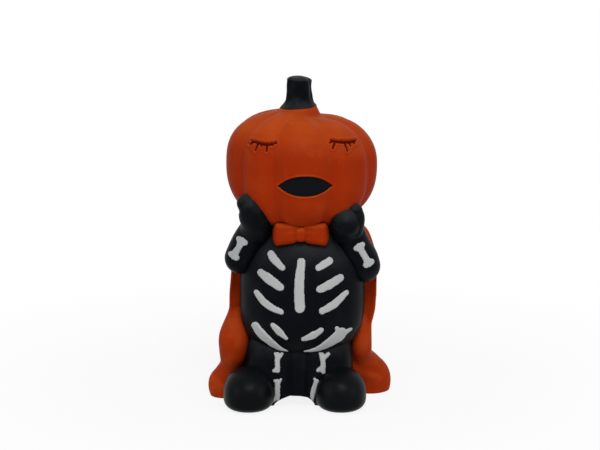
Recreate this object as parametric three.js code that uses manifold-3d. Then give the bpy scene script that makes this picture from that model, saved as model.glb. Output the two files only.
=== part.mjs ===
// Halloween figure: a pumpkin-headed child in a skeleton suit, with a cape and a bow tie.
// Millimetres, +Z up. It stands on the plane z = 0 and faces -Y. Left and right are the viewer's.

import * as THREE from 'three';
import { mergeVertices } from 'three/addons/utils/BufferGeometryUtils.js';
import Module from 'manifold-3d';

const wasm = await Module();
wasm.setup();

// Clearances shared by all pieces. A coarse cutter is made larger by the slack of its flat facets.
const seatGap = 0.3;
const facetSlack = 0.25;
const overrun = 5;

// Legs, feet and the low arch between them
const hipLevel = 17;
const legInset = 3;
const legHalfDepth = 13;
const legMiddleHalfWidth = 5;
const legMiddleInset = 0.8;
const legLevel = 6;
const legRise = 18;
const legDrop = 8;
const legsShift = -0.5;
const footHalfWidth = 8.3;
const footHalfLength = 10.3;
const footLevel = 4.6;
const footRise = 9;
const footDrop = 6.4;
const footReach = 22;
const footOffset = 6.7;
const feetShift = -1.9;
const archHalfWidth = 7.1;
const archHeight = 4.6;

// Torso
const torsoHalfWidth = 21;
const torsoHalfDepth = 17.5;
const torsoRise = 25;
const torsoDrop = 20;
const torsoShift = 0.6;

// Head and stalk
const headHalfWidth = 25.2;
const headHalfDepth = 22.6;
const headRise = 18;
const headDrop = 20.6;
const headShift = 0.3;
const headSink = 1.8;
const grooveDepth = 0.6;
const ribCrown = 0.5;
const collarRadius = 6.7;
const collarSlope = 0.75;
const collarRise = 1.9;
const stalkHeight = 9;
const stalkRadius = 4.1;
const stalkFlare = 1.7;
const stalkSlant = 0.25;
const stalkShift = -0.8;
const stalkRibs = 6;
const stalkRibDepth = 0.35;

// Face
const faceShift = 1.1;
const mouthHalfWidth = 8.75;
const mouthUpper = 3.45;
const mouthLower = 3.2;
const mouthDepth = 0.8;
const mouthThickness = 1.4;
const mouthLevelShare = -0.2;
const lidLineWidth = 0.6;
const lashWidth = 0.5;
const lidDepth = 0.2;
const lidThickness = 0.7;

// Arms and hands
const shoulderRadius = 5;
const elbowRadius = 5.4;
const wristRadius = 5.2;
const palmHalfWidth = 4.8;
const palmHalfLength = 7.6;
const handHalfThickness = 3.4;
const fingersHalfWidth = 2.9;
const fingersHalfLength = 5;
const thumbHalfWidth = 2.7;
const thumbHalfLength = 4;

// Bow tie
const knotHalfWidth = 2.3;
const knotHalfHeight = 2.9;
const knotHalfDepth = 2;
const bowShift = 0.1;
const bowHalfSpan = 9.3;
const bowRootHalfHeight = 3;
const bowTipHalfHeight = 3.9;
const bowHalfDepth = 2.2;
const bowLevelShare = 0.915;
const bowFrontShare = -0.8;

// Cape
const capeSpread = 10;
const capeBackDepth = 27;
const capeFrontDepth = 2;
const capeTopRise = 1.2;
const capeRollRadius = 4.6;
const capeFolds = 5;
const capeFoldDepth = 1.5;
const capeFoldDrift = 1;

// Bones, raised a little and let into the suit
const boneRise = 0.35;
const boneDepth = 0.8;
const ribWidth = 2.2;
const breastboneWidth = 3;
const hipBoneWidth = 3.3;
const longBoneWidth = 1.5;
const knuckleRadius = 0.85;

// Levels that follow from the sizes above
const torsoLevel = hipLevel + torsoDrop;
const torsoTop = torsoLevel + torsoRise;
const headLevel = torsoTop + headDrop - headSink;
const headTop = headLevel + headRise;
const legHalfWidth = (torsoHalfWidth - legInset) / 2;
const footSpread = legHalfWidth + footOffset;
const capeHeight = torsoTop + capeTopRise;
const capeHalfWidth = torsoHalfWidth + capeSpread;

const paint = {
  orange: new THREE.MeshStandardMaterial({ color: 0xa5421b, roughness: 0.55, metalness: 0 }),
  black: new THREE.MeshStandardMaterial({ color: 0x1f2226, roughness: 0.6, metalness: 0 }),
  white: new THREE.MeshStandardMaterial({ color: 0xc9cccb, roughness: 0.7, metalness: 0 }),
  line: new THREE.MeshStandardMaterial({ color: 0x3a140c, roughness: 0.7, metalness: 0 }),
};

const between = (low, high, share) => low + (high - low) * share;
const signedPower = (value, power) => Math.sign(value) * Math.abs(value) ** power;

// A number read off a short list of [height share, value share] pairs, with smooth bends between them
function alongShares(pairs, heightShare) {
  const curve = new THREE.SplineCurve(pairs.map(([at, value]) => new THREE.Vector2(at, value)));
  let low = 0;
  let high = 1;
  for (let step = 0; step < 30; step++) {
    const middle = (low + high) / 2;
    if (curve.getPoint(middle).x < heightShare) low = middle;
    else high = middle;
  }
  return curve.getPoint((low + high) / 2).y;
}

// A closed body from rings of points, with one point closing each end
function ringBody(foot, rings, top) {
  const columns = rings[0].length;
  const points = [foot, ...rings.flat(), top];
  const last = points.length - 1;
  const at = (row, column) => 1 + row * columns + (column % columns);
  const faces = [];
  for (let column = 0; column < columns; column++) {
    faces.push(0, at(0, column + 1), at(0, column));
    for (let row = 0; row < rings.length - 1; row++) {
      faces.push(at(row, column), at(row, column + 1), at(row + 1, column + 1));
      faces.push(at(row, column), at(row + 1, column + 1), at(row + 1, column));
    }
    faces.push(last, at(rings.length - 1, column), at(rings.length - 1, column + 1));
  }
  const geometry = new THREE.BufferGeometry();
  geometry.setAttribute('position', new THREE.Float32BufferAttribute(points.flatMap((p) => p.toArray()), 3));
  geometry.setIndex(faces);
  return solidOf(geometry);
}

function solidOf(geometry) {
  geometry.deleteAttribute('normal');
  geometry.deleteAttribute('uv');
  const welded = mergeVertices(geometry);
  return new wasm.Manifold(new wasm.Mesh({
    numProp: 3,
    vertProperties: new Float32Array(welded.getAttribute('position').array),
    triVerts: new Uint32Array(welded.getIndex().array),
  }));
}

// A rounded form: its widest level splits it into an upper and a lower part, each with its own height
// and fullness (2 is an ellipse, more is squarer), which may change with the turn. A base cuts it flat.
// Grow makes it larger all round.
const evenTurns = (count) => Array.from({ length: count }, (_, column) => (column / count) * 2 * Math.PI);
function roundedForm(form, grow = 0) {
  const { centre, halfWidth, halfDepth, rise, drop, base, rows, columns, turns = evenTurns(columns) } = form;
  const { riseFullness, dropFullness, planFullness = 2, groove = () => 0 } = form;
  const fullnessAt = (fullness, turn) => (typeof fullness === 'function' ? fullness(turn) : fullness);
  let lowest = -Math.PI / 2;
  if (base !== undefined) {
    const baseShare = (centre.z - base + grow) / (drop + grow);
    lowest = -Math.asin(baseShare ** (dropFullness / 2));
  }
  const ringAt = (climb) => turns.map((turn) => {
    const fullness = fullnessAt(climb > 0 ? riseFullness : dropFullness, turn);
    const level = signedPower(Math.sin(climb), 2 / fullness) * ((climb > 0 ? rise : drop) + grow);
    const spread = Math.cos(climb) ** (2 / fullness);
    const sink = groove(turn) * Math.cos(climb) ** (1 / 2);
    const across = signedPower(Math.cos(turn), 2 / planFullness) * spread;
    const along = signedPower(Math.sin(turn), 2 / planFullness) * spread;
    return new THREE.Vector3(
      centre.x + across * (halfWidth + grow - sink),
      centre.y + along * (halfDepth + grow - sink),
      centre.z + level * (1 - sink / halfWidth),
    );
  });
  const climbs = Array.from({ length: rows }, (_, row) => between(lowest, Math.PI / 2, row / rows));
  const rings = (base === undefined ? climbs.slice(1) : climbs).map(ringAt);
  const footLevel = base === undefined ? centre.z - drop - grow : base - grow;
  const foot = new THREE.Vector3(centre.x, centre.y, footLevel);
  const top = new THREE.Vector3(centre.x, centre.y, centre.z + rise + grow);
  return ringBody(foot, rings, top);
}

// A ball with three half sizes, leaned about the Y axis
function ball({ centre, half, lean = 0, pitch = 0 }, grow = 0) {
  const geometry = new THREE.SphereGeometry(1, 12, 7);
  geometry.scale(half.x + grow, half.y + grow, half.z + grow);
  geometry.rotateX(pitch);
  geometry.rotateY(lean);
  geometry.translate(centre.x, centre.y, centre.z);
  return solidOf(geometry);
}

// A round bar with round ends, along a smooth line of stations that each have a place and a radius
function bar(stations, grow = 0) {
  const line = new THREE.CatmullRomCurve3(stations.map(({ place }) => place));
  const turns = evenTurns(12);
  const capSteps = 3;
  const ringAt = (index, reach, spread) => {
    const { place, radius } = stations[index];
    const axis = line.getTangent(index / (stations.length - 1));
    const side = new THREE.Vector3(0, 1, 0).cross(axis).normalize();
    const front = new THREE.Vector3().crossVectors(axis, side);
    return turns.map((turn) => place.clone()
      .addScaledVector(axis, (radius + grow) * reach)
      .addScaledVector(side, (radius + grow) * spread * Math.cos(turn))
      .addScaledVector(front, (radius + grow) * spread * Math.sin(turn)));
  };
  const last = stations.length - 1;
  const rings = [];
  for (let step = 1; step < capSteps; step++) {
    const climb = (step / capSteps) * (Math.PI / 2);
    rings.push(ringAt(0, -Math.cos(climb), Math.sin(climb)));
  }
  for (let index = 0; index <= last; index++) rings.push(ringAt(index, 0, 1));
  for (let step = 1; step < capSteps; step++) {
    const climb = (step / capSteps) * (Math.PI / 2);
    rings.push(ringAt(last, Math.sin(climb), Math.cos(climb)));
  }
  return ringBody(ringAt(0, -1, 0)[0], rings, ringAt(last, 1, 0)[0]);
}

// An outline drawn as seen from the front, run back through the figure along Y
function frontPrism(shape, turn = 0, pivot = new THREE.Vector3()) {
  const reach = headHalfDepth + footReach + overrun;
  const geometry = new THREE.ExtrudeGeometry(shape, { depth: reach, bevelEnabled: false, curveSegments: 5 });
  geometry.rotateX(Math.PI / 2);
  geometry.rotateZ(turn);
  geometry.translate(pivot.x, pivot.y, pivot.z);
  return solidOf(geometry);
}

// A brush stroke along a smooth line of [across, up] points, whose round tips end at the first and last.
// Its widths are given at the start, in the middle and at the end.
function strokeShape(points, [startWidth, middleWidth, endWidth], grow) {
  const line = new THREE.SplineCurve(points.map(([across, up]) => new THREE.Vector2(across, up)));
  const steps = points.length > 2 ? 3 : 1;
  const tipSteps = middleWidth > lidLineWidth ? 3 : 2;
  const length = line.getLength();
  const first = startWidth / 2 / length;
  const last = 1 - endWidth / 2 / length;
  const halfAt = (share) => {
    const straight = between(startWidth, endWidth, share) / 2;
    const bulge = middleWidth / 2 - (startWidth + endWidth) / 4;
    return straight + bulge * Math.sin(Math.PI * share) + grow;
  };
  const sideways = (share) => {
    const tangent = line.getTangentAt(between(first, last, share));
    return new THREE.Vector2(-tangent.y, tangent.x);
  };
  const centreAt = (share) => line.getPointAt(between(first, last, share));
  const left = [];
  const right = [];
  for (let step = 0; step <= steps; step++) {
    const share = step / steps;
    left.push(centreAt(share).addScaledVector(sideways(share), halfAt(share)));
    right.push(centreAt(share).addScaledVector(sideways(share), -halfAt(share)));
  }
  const tip = (share, direction) => Array.from({ length: tipSteps - 1 }, (_, step) => {
    const turn = ((step + 1) / tipSteps) * Math.PI;
    const across = sideways(share);
    const out = new THREE.Vector2(across.y, -across.x).multiplyScalar(direction * Math.sin(turn));
    out.addScaledVector(across, direction * Math.cos(turn));
    return centreAt(share).addScaledVector(out, halfAt(share));
  });
  return new THREE.Shape([...left, ...tip(1, 1), ...right.reverse(), ...tip(0, -1)]);
}

// A long bone: a narrow shaft with two knuckles at each end
const knuckleTurns = [-0.5, 0.1, 0.7];
function longBonePrism(ends, grow, turn, pivot) {
  const [from, to] = ends.map(([across, up]) => new THREE.Vector2(across, up));
  const direction = new THREE.Vector2().subVectors(to, from).normalize();
  const sideways = new THREE.Vector2(-direction.y, direction.x);
  const radius = knuckleRadius + grow;
  const knuckle = (tip, outward, side) => knuckleTurns.map((halfTurns) => tip.clone()
    .addScaledVector(sideways, side * (knuckleRadius + radius * Math.cos(halfTurns * Math.PI)))
    .addScaledVector(direction, outward * radius * Math.sin(halfTurns * Math.PI)));
  const end = (tip, outward) => {
    const notch = tip.clone().addScaledVector(direction, outward * (knuckleRadius / 2 + grow));
    return [...knuckle(tip, outward, -outward), notch, ...knuckle(tip, outward, outward).reverse()];
  };
  const middle = from.clone().lerp(to, 1 / 2);
  const waist = longBoneWidth / 2 + grow;
  return frontPrism(new THREE.Shape([
    ...end(to, 1),
    middle.clone().addScaledVector(sideways, waist),
    ...end(from, -1),
    middle.clone().addScaledVector(sideways, -waist),
  ]), turn, pivot);
}

// What is let into a surface: the piece itself, and the pocket that holds it
function inlay(surface, prismAt, rise, depth) {
  const piece = prismAt(0).intersect(surface(rise)).subtract(surface(-depth));
  const pocket = prismAt(seatGap).intersect(surface(rise + seatGap)).subtract(surface(-depth - seatGap));
  return { piece, pocket };
}

// Torso
const torsoForm = {
  centre: new THREE.Vector3(torsoShift, 0, torsoLevel),
  halfWidth: torsoHalfWidth,
  halfDepth: torsoHalfDepth,
  rise: torsoRise,
  drop: torsoDrop,
  riseFullness: 2.7,
  dropFullness: 3.2,
  planFullness: 2.2,
  columns: 32,
  rows: 14,
};
const torsoAt = (grow) => roundedForm(torsoForm, grow);
const torsoCutter = torsoAt(seatGap);
const coarseTorsoCutter = roundedForm({ ...torsoForm, columns: 24, rows: 11 }, seatGap + facetSlack);
const torsoPlace = ([acrossShare, upShare]) => [
  torsoShift + acrossShare * torsoHalfWidth,
  torsoLevel + upShare * (upShare > 0 ? torsoRise : torsoDrop),
];

// Head: ribs of unequal width meet in grooves, the right shoulder is the rounder one, and the chin is
// fuller in front. Bearings are in degrees from the front. Neighbours clear the ribs' outline.
const grooveTurns = [-140, -98, -55, -21, 24, 67, 104, 142, 180]
  .map((bearing) => THREE.MathUtils.degToRad(bearing - 90));
const grooveHalfTurn = THREE.MathUtils.degToRad(5.5);
const ribTurns = grooveTurns.flatMap((turn, index) => {
  const next = grooveTurns[index + 1] ?? grooveTurns[0] + 2 * Math.PI;
  return [turn, turn + grooveHalfTurn, between(turn, next, 1 / 2), next - grooveHalfTurn];
});
function headGroove(turn) {
  const turned = grooveTurns.map((groove) => THREE.MathUtils.euclideanModulo(turn - groove, 2 * Math.PI));
  const ahead = Math.min(...turned);
  const behind = 2 * Math.PI - Math.max(...turned);
  const acrossShare = Math.abs(ahead - behind) / (ahead + behind);
  const grooveShare = 1 / (1 + (Math.min(ahead, behind) / grooveHalfTurn) ** 2);
  return grooveDepth * grooveShare + ribCrown * acrossShare ** 2.5;
}
const headForm = {
  centre: new THREE.Vector3(headShift, 0, headLevel),
  halfWidth: headHalfWidth,
  halfDepth: headHalfDepth,
  rise: headRise,
  drop: headDrop,
  riseFullness: (turn) => between(2.65, 2.2, THREE.MathUtils.smoothstep(Math.cos(turn), -0.6, 0.8)),
  dropFullness: (turn) => between(2.45, 3.1, THREE.MathUtils.smoothstep(-Math.sin(turn), 0.1, 0.85)),
  groove: headGroove,
  turns: ribTurns,
  rows: 15,
};
const headAt = (grow) => roundedForm(headForm, grow);
const smooth = { groove: () => 0, turns: evenTurns(28), rows: 12 };
const headCutter = roundedForm({ ...headForm, ...smooth }, seatGap + facetSlack);

function collarSolid() {
  const outline = new THREE.Path();
  const foot = -headRise / 2;
  outline.moveTo(0, foot);
  outline.lineTo(collarRadius + collarSlope, foot);
  outline.lineTo(collarRadius + collarSlope, 0);
  outline.bezierCurveTo(collarRadius, 0, collarRadius, collarRise, collarRadius - collarSlope, collarRise);
  outline.lineTo(0, collarRise);
  const geometry = new THREE.LatheGeometry(outline.getPoints(4), 24);
  geometry.rotateX(Math.PI / 2);
  geometry.translate(headShift + stalkShift, 0, headTop);
  return solidOf(geometry);
}

// Stalk: a ribbed column with a flared foot and a slanting cut
function stalkSolid() {
  const columns = stalkRibs * 4;
  const foot = headTop + collarRise + seatGap;
  const flareShare = 0.35;
  const ring = (heightShare, widthShare) => Array.from({ length: columns }, (_, column) => {
    const turn = (column / columns) * 2 * Math.PI;
    const flare = stalkFlare * (1 - Math.min(1, heightShare / flareShare)) ** 2;
    const rib = stalkRibDepth * Math.cos(stalkRibs * turn);
    const radius = (stalkRadius + flare + rib) * widthShare;
    const slant = -stalkSlant * heightShare * Math.cos(turn) * widthShare;
    return new THREE.Vector3(
      headShift + stalkShift + radius * Math.cos(turn),
      radius * Math.sin(turn),
      foot + stalkHeight * heightShare + slant,
    );
  });
  const rings = [0, 0.06, 0.14, 0.24, 0.36, 0.65, 0.9].map((heightShare) => ring(heightShare, 1));
  rings.push(ring(0.96, 0.95), ring(0.99, 0.8));
  const bottom = new THREE.Vector3(headShift + stalkShift, 0, foot);
  const top = new THREE.Vector3(headShift + stalkShift, 0, foot + stalkHeight);
  return ringBody(bottom, rings, top);
}

// Mouth: a full lens with its corners level. A curve rises to 3/4 of the height of its handles.
const mouthLevel = headLevel + mouthLevelShare * headDrop;
const handleHeightShare = 4 / 3;
function mouthPrism(grow) {
  const half = mouthHalfWidth + grow;
  const upper = handleHeightShare * (mouthUpper + grow);
  const lower = handleHeightShare * (mouthLower + grow);
  const lens = new THREE.Shape();
  lens.moveTo(-half, 0);
  lens.bezierCurveTo(-half / 2, -lower, half / 2, -lower, half, 0);
  lens.bezierCurveTo(half / 2, upper, -half / 2, upper, -half, 0);
  return frontPrism(lens, 0, new THREE.Vector3(headShift + faceShift, 0, mouthLevel));
}

// Closed eyes: a sagging lid line with four lashes under it and a short fork at its outer or inner end
const lidShares = {
  left: [[-0.656, 0.567], [-0.553, 0.503], [-0.454, 0.494], [-0.327, 0.539]],
  right: [[0.376, 0.583], [0.471, 0.539], [0.594, 0.522], [0.701, 0.561]],
};
const lashShares = {
  left: [
    [[-0.557, 0.511], [-0.585, 0.394]],
    [[-0.497, 0.497], [-0.509, 0.439]],
    [[-0.438, 0.494], [-0.446, 0.389]],
    [[-0.374, 0.508], [-0.362, 0.45]],
    [[-0.61, 0.54], [-0.676, 0.517]],
  ],
  right: [
    [[0.443, 0.547], [0.396, 0.456]],
    [[0.554, 0.519], [0.594, 0.4]],
    [[0.61, 0.522], [0.634, 0.439]],
    [[0.658, 0.533], [0.697, 0.483]],
    [[0.42, 0.56], [0.368, 0.533]],
  ],
};
const headPlace = ([acrossShare, upShare]) => [
  headShift + acrossShare * headHalfWidth,
  headLevel + upShare * headRise,
];
function eyePrism(side, grow) {
  const lidWidths = [lashWidth, lidLineWidth, lashWidth];
  const lashWidths = [lashWidth, lashWidth, lashWidth];
  const pivot = new THREE.Vector3(0, -headHalfDepth / 4, 0);
  const lid = frontPrism(strokeShape(lidShares[side].map(headPlace), lidWidths, grow), 0, pivot);
  return lashShares[side].reduce((eye, lash) => (
    eye.add(frontPrism(strokeShape(lash.map(headPlace), lashWidths, grow), 0, pivot))
  ), lid);
}

// Legs: two stubby legs that run together in the middle and at the back, over a low arch
const sides = { left: -1, right: 1 };
const legForm = (side) => ({
  centre: new THREE.Vector3(legsShift + sides[side] * legHalfWidth, 0, legLevel),
  halfWidth: legHalfWidth + seatGap,
  halfDepth: legHalfDepth,
  rise: legRise,
  drop: legDrop,
  base: 0,
  riseFullness: 5,
  dropFullness: 3,
  planFullness: 2.6,
  columns: 20,
  rows: 7,
});
const legBackWidthShare = 4 / 3;
const legBackForm = {
  ...legForm('left'),
  centre: new THREE.Vector3(legsShift, legHalfDepth / 2, legLevel),
  halfWidth: legBackWidthShare * legHalfWidth,
  halfDepth: legHalfDepth / 2,
  planFullness: 8,
};
const legMiddleForm = {
  ...legBackForm,
  centre: new THREE.Vector3(legsShift, 0, legLevel),
  halfWidth: legMiddleHalfWidth,
  halfDepth: legHalfDepth - legMiddleInset,
  planFullness: 3,
};
const legsAt = (grow) => [legForm('left'), legForm('right'), legBackForm, legMiddleForm]
  .map((form) => roundedForm(form, grow))
  .reduce((legs, form) => legs.add(form));
function archSolid() {
  const arch = new THREE.Shape();
  arch.absellipse(feetShift, 0, archHalfWidth, archHeight, 0, 2 * Math.PI);
  return frontPrism(arch, 0, new THREE.Vector3(0, legHalfDepth + overrun, 0));
}

// Feet: round toes with flat soles
const footForm = (side) => ({
  centre: new THREE.Vector3(feetShift + sides[side] * footSpread, footHalfLength - footReach, footLevel),
  halfWidth: footHalfWidth,
  halfDepth: footHalfLength,
  rise: footRise,
  drop: footDrop,
  base: 0,
  riseFullness: 2.3,
  dropFullness: 2.5,
  planFullness: 2.1,
  columns: 20,
  rows: 7,
});

// Arms: the elbows hang out and down, and the forearms rise to the cheeks.
// The joints are shares of the torso's half width, half depth and rise.
const armShares = {
  left: { shoulder: [-0.76, -0.02, 0.74], elbow: [-0.95, -0.24, 0.52], wrist: [-0.725, -0.55, 0.9] },
  right: { shoulder: [0.76, -0.02, 0.7], elbow: [0.92, -0.24, 0.42], wrist: [0.68, -0.55, 0.86] },
};
function armJoint(side, joint) {
  const [acrossShare, alongShare, upShare] = armShares[side][joint];
  return new THREE.Vector3(
    torsoShift + acrossShare * torsoHalfWidth,
    alongShare * torsoHalfDepth,
    torsoLevel + upShare * torsoRise,
  );
}
function armSolid(side, grow) {
  const shoulder = { place: armJoint(side, 'shoulder'), radius: shoulderRadius };
  const elbow = { place: armJoint(side, 'elbow'), radius: elbowRadius };
  const wrist = { place: armJoint(side, 'wrist'), radius: wristRadius };
  return bar([shoulder, elbow], grow).add(bar([elbow, wrist], grow));
}

// Hands: mittens laid on the cheeks. Their places are shares of the head's half width, half depth and
// drop, their sizes are shares of the named sizes, and each lump leans about the line of sight.
const handShares = {
  left: {
    palm: { at: [-0.59, -0.47, -0.797], size: [1, 0.9], lean: -0.42 },
    fingers: { at: [-0.725, -0.48, -0.64], size: [1, 1], lean: -0.1 },
    thumb: { at: [-0.52, -0.54, -0.78], size: [1, 0.9], lean: -0.5 },
  },
  right: {
    palm: { at: [0.57, -0.46, -0.876], size: [1, 1], lean: 0.25 },
    fingers: { at: [0.715, -0.47, -0.718], size: [1, 1], lean: 0.05 },
    thumb: { at: [0.55, -0.54, -0.788], size: [1.15, 1], lean: 0.3 },
  },
};
const handPitch = 0.35;
function handSolid(side, grow) {
  const lump = ({ at: [acrossShare, alongShare, downShare], size, lean }, halfWidth, halfLength) => ball({
    centre: new THREE.Vector3(
      headShift + acrossShare * headHalfWidth,
      alongShare * headHalfDepth,
      headLevel + downShare * headDrop,
    ),
    half: new THREE.Vector3(halfWidth * size[0], handHalfThickness, halfLength * size[1]),
    lean,
    pitch: handPitch,
  }, grow);
  const { palm, fingers, thumb } = handShares[side];
  return lump(palm, palmHalfWidth, palmHalfLength)
    .add(lump(fingers, fingersHalfWidth, fingersHalfLength))
    .add(lump(thumb, thumbHalfWidth, thumbHalfLength));
}

// Bow tie: two pleated wings and a knot, between the chin and the chest
const bowLevel = between(torsoLevel, torsoTop, bowLevelShare);
const bowFront = torsoHalfDepth * bowFrontShare;
const knotForm = {
  centre: new THREE.Vector3(bowShift, bowFront - bowHalfDepth / 2, bowLevel),
  half: new THREE.Vector3(knotHalfWidth, knotHalfDepth, knotHalfHeight),
};
function bowWing(side) {
  const columns = 12;
  const ring = (spanShare, sizeShare) => Array.from({ length: columns }, (_, column) => {
    const turn = sides[side] * (column / columns) * 2 * Math.PI;
    const halfHeight = between(bowRootHalfHeight, bowTipHalfHeight, spanShare) * sizeShare;
    return new THREE.Vector3(
      bowShift + sides[side] * bowHalfSpan * spanShare,
      bowFront + bowHalfDepth * sizeShare * signedPower(Math.cos(turn), 0.8),
      bowLevel + halfHeight * signedPower(Math.sin(turn), 0.8),
    );
  });
  const rings = [ring(0.02, 0.8), ring(0.3, 1), ring(0.7, 1), ring(0.92, 0.97), ring(0.99, 0.75)];
  const root = new THREE.Vector3(bowShift, bowFront, bowLevel);
  const tip = new THREE.Vector3(bowShift + sides[side] * bowHalfSpan, bowFront, bowLevel);
  return ringBody(root, rings, tip);
}

// Cape: one heavy drape, wider at the hem, that closes round the back of the figure.
// Each pair is a share of its height and a share of its largest reach that way.
const capeWidthShares = {
  left: [
    [0, 0.89], [0.024, 0.97], [0.063, 1], [0.1, 0.97], [0.142, 0.895], [0.19, 0.867], [0.25, 0.872],
    [0.35, 0.86], [0.4, 0.83], [0.44, 0.79], [0.49, 0.77], [0.57, 0.765], [0.66, 0.75], [0.74, 0.735],
    [0.8, 0.73], [0.866, 0.7], [0.913, 0.655], [0.945, 0.6], [0.976, 0.5], [1, 0.36],
  ],
  right: [
    [0, 0.91], [0.024, 0.985], [0.063, 1.01], [0.1, 0.985], [0.142, 0.915], [0.19, 0.835], [0.25, 0.768],
    [0.35, 0.765], [0.4, 0.775], [0.44, 0.795], [0.49, 0.812], [0.57, 0.825], [0.66, 0.82], [0.74, 0.82],
    [0.8, 0.8], [0.866, 0.76], [0.913, 0.703], [0.945, 0.645], [0.976, 0.54], [1, 0.38],
  ],
};
const capeBackShares = [
  [0, 0.93], [0.024, 0.98], [0.063, 1], [0.1, 0.99], [0.19, 0.93], [0.35, 0.865], [0.57, 0.82],
  [0.74, 0.79], [0.8, 0.76], [0.866, 0.7], [0.913, 0.62], [0.945, 0.54], [0.976, 0.43], [1, 0.32],
];
const capeFrontShares = [
  [0, -2.2], [0.063, -2], [0.15, -0.8], [0.3, 0.4], [0.5, 0.6], [0.8, 0.8], [0.9, 1.5], [1, 0.8],
];
const capeLevelShares = [0, 0.025, 0.063, 0.11, 0.17, 0.25, 0.33, 0.41, 0.49, 0.62, 0.76, 0.87, 0.95, 1];
const foldTopShare = 0.85;
function drapeSolid() {
  const backColumns = capeFolds * 6;
  const frontColumns = 8;
  const turns = [
    ...Array.from({ length: backColumns }, (_, column) => (column / backColumns) * Math.PI),
    ...Array.from({ length: frontColumns }, (_, column) => (1 + column / frontColumns) * Math.PI),
  ];
  const rings = capeLevelShares.map((heightShare) => turns.map((turn) => {
    const rightShare = THREE.MathUtils.smoothstep(Math.cos(turn), -0.25, 0.25);
    const widthShare = between(
      alongShares(capeWidthShares.left, heightShare),
      alongShares(capeWidthShares.right, heightShare),
      rightShare,
    );
    const back = turn < Math.PI;
    const fade = Math.max(0, 1 - heightShare / foldTopShare) ** 0.8 * Math.abs(Math.sin(turn)) ** 1.5;
    const drift = capeFoldDrift * Math.sin(2 * turn + 4 * heightShare);
    const fold = back ? capeFoldDepth * fade * Math.cos(2 * capeFolds * turn + drift) : 0;
    const depth = back
      ? capeBackDepth * alongShares(capeBackShares, heightShare) + fold
      : capeFrontDepth * alongShares(capeFrontShares, heightShare);
    return new THREE.Vector3(
      (capeHalfWidth * widthShare + fold) * signedPower(Math.cos(turn), 2 / 2.4),
      depth * signedPower(Math.sin(turn), 2 / 2.4),
      capeHeight * heightShare,
    );
  }));
  const middle = capeBackDepth / 4;
  return ringBody(new THREE.Vector3(0, middle, 0), rings, new THREE.Vector3(0, middle, capeHeight));
}

// The thick rolled edges of the cape: shares of its half width, back depth, height and roll radius
const capeRollShares = {
  left: [
    [-0.819, 0.17, 0.008, 0.91], [-0.839, 0.148, 0.071, 1], [-0.835, 0.089, 0.127, 0.93],
    [-0.794, 0.015, 0.187, 0.8], [-0.732, -0.089, 0.261, 1], [-0.71, -0.119, 0.348, 1.15],
    [-0.687, -0.052, 0.451, 0.8], [-0.674, 0, 0.538, 0.7], [-0.658, 0.022, 0.665, 0.7],
  ],
  right: [
    [0.787, 0.504, 0.008, 1], [0.813, 0.459, 0.071, 1.07], [0.803, 0.341, 0.134, 0.96],
    [0.735, 0.167, 0.206, 0.8], [0.661, -0.007, 0.293, 0.78], [0.661, -0.037, 0.396, 0.74],
    [0.697, -0.022, 0.538, 0.74], [0.716, -0.007, 0.696, 0.74],
  ],
};
function rollSolid(side) {
  return bar(capeRollShares[side].map(([acrossShare, backShare, heightShare, radiusShare]) => ({
    place: new THREE.Vector3(
      acrossShare * capeHalfWidth,
      backShare * capeBackDepth,
      heightShare * capeHeight,
    ),
    radius: radiusShare * capeRollRadius,
  })));
}
function floorBlock() {
  const size = 2 * (capeHalfWidth + capeBackDepth + overrun);
  const geometry = new THREE.BoxGeometry(size, size, size);
  geometry.translate(0, 0, -size / 2);
  return solidOf(geometry);
}

// Bones on the torso: places as shares of the torso's half width and of its rise or drop,
// widths as shares of the named width of their kind, at the start, the middle and the end
const torsoBoneShares = {
  breastbone: {
    kind: breastboneWidth,
    places: [[-0.011, 0.594], [-0.049, 0.26], [-0.038, -0.19]],
    widths: [0.63, 0.97, 1.07],
  },
  left_top_rib: {
    kind: ribWidth,
    places: [[-0.514, 0.658], [-0.44, 0.572], [-0.303, 0.462]],
    widths: [0.75, 0.9, 0.6],
  },
  left_middle_rib: {
    kind: ribWidth,
    places: [[-0.687, 0.401], [-0.516, 0.308], [-0.307, 0.193]],
    widths: [0.86, 1.23, 0.95],
  },
  left_bottom_rib: {
    kind: ribWidth,
    places: [[-0.74, 0.13], [-0.568, -0.035], [-0.302, -0.149]],
    widths: [0.68, 0.86, 0.68],
  },
  right_top_rib: {
    kind: ribWidth,
    places: [[0.462, 0.57], [0.22, 0.46]],
    widths: [0.86, 0.86, 0.77],
  },
  right_middle_rib: {
    kind: ribWidth,
    places: [[0.628, 0.336], [0.422, 0.244], [0.234, 0.175]],
    widths: [0.95, 1.18, 0.95],
  },
  right_bottom_rib: {
    kind: ribWidth,
    places: [[0.711, 0.127], [0.522, -0.01], [0.272, -0.139]],
    widths: [0.68, 0.95, 0.77],
  },
  left_hip_bone: {
    kind: hipBoneWidth,
    places: [[-0.78, -0.399], [-0.52, -0.69], [-0.223, -0.883]],
    widths: [0.85, 0.85, 0.2],
  },
  left_inner_hip_bone: {
    kind: ribWidth,
    places: [[-0.479, -0.361], [-0.363, -0.495], [-0.24, -0.619]],
    widths: [0.6, 0.86, 0.4],
  },
  right_hip_bone: {
    kind: hipBoneWidth,
    places: [[0.763, -0.439], [0.394, -0.73], [0.018, -0.875]],
    widths: [1.33, 0.95, 0.2],
  },
  right_inner_hip_bone: {
    kind: ribWidth,
    places: [[0.32, -0.44], [0.165, -0.55], [-0.007, -0.626]],
    widths: [0.5, 0.9, 0.5],
  },
};
const bones = Object.entries(torsoBoneShares).map(([name, { kind, places, widths }]) => {
  const sizes = widths.map((share) => share * kind);
  const prismAt = (grow) => frontPrism(strokeShape(places.map(torsoPlace), sizes, grow));
  return { name, ...inlay(torsoAt, prismAt, boneRise, boneDepth) };
});

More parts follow.
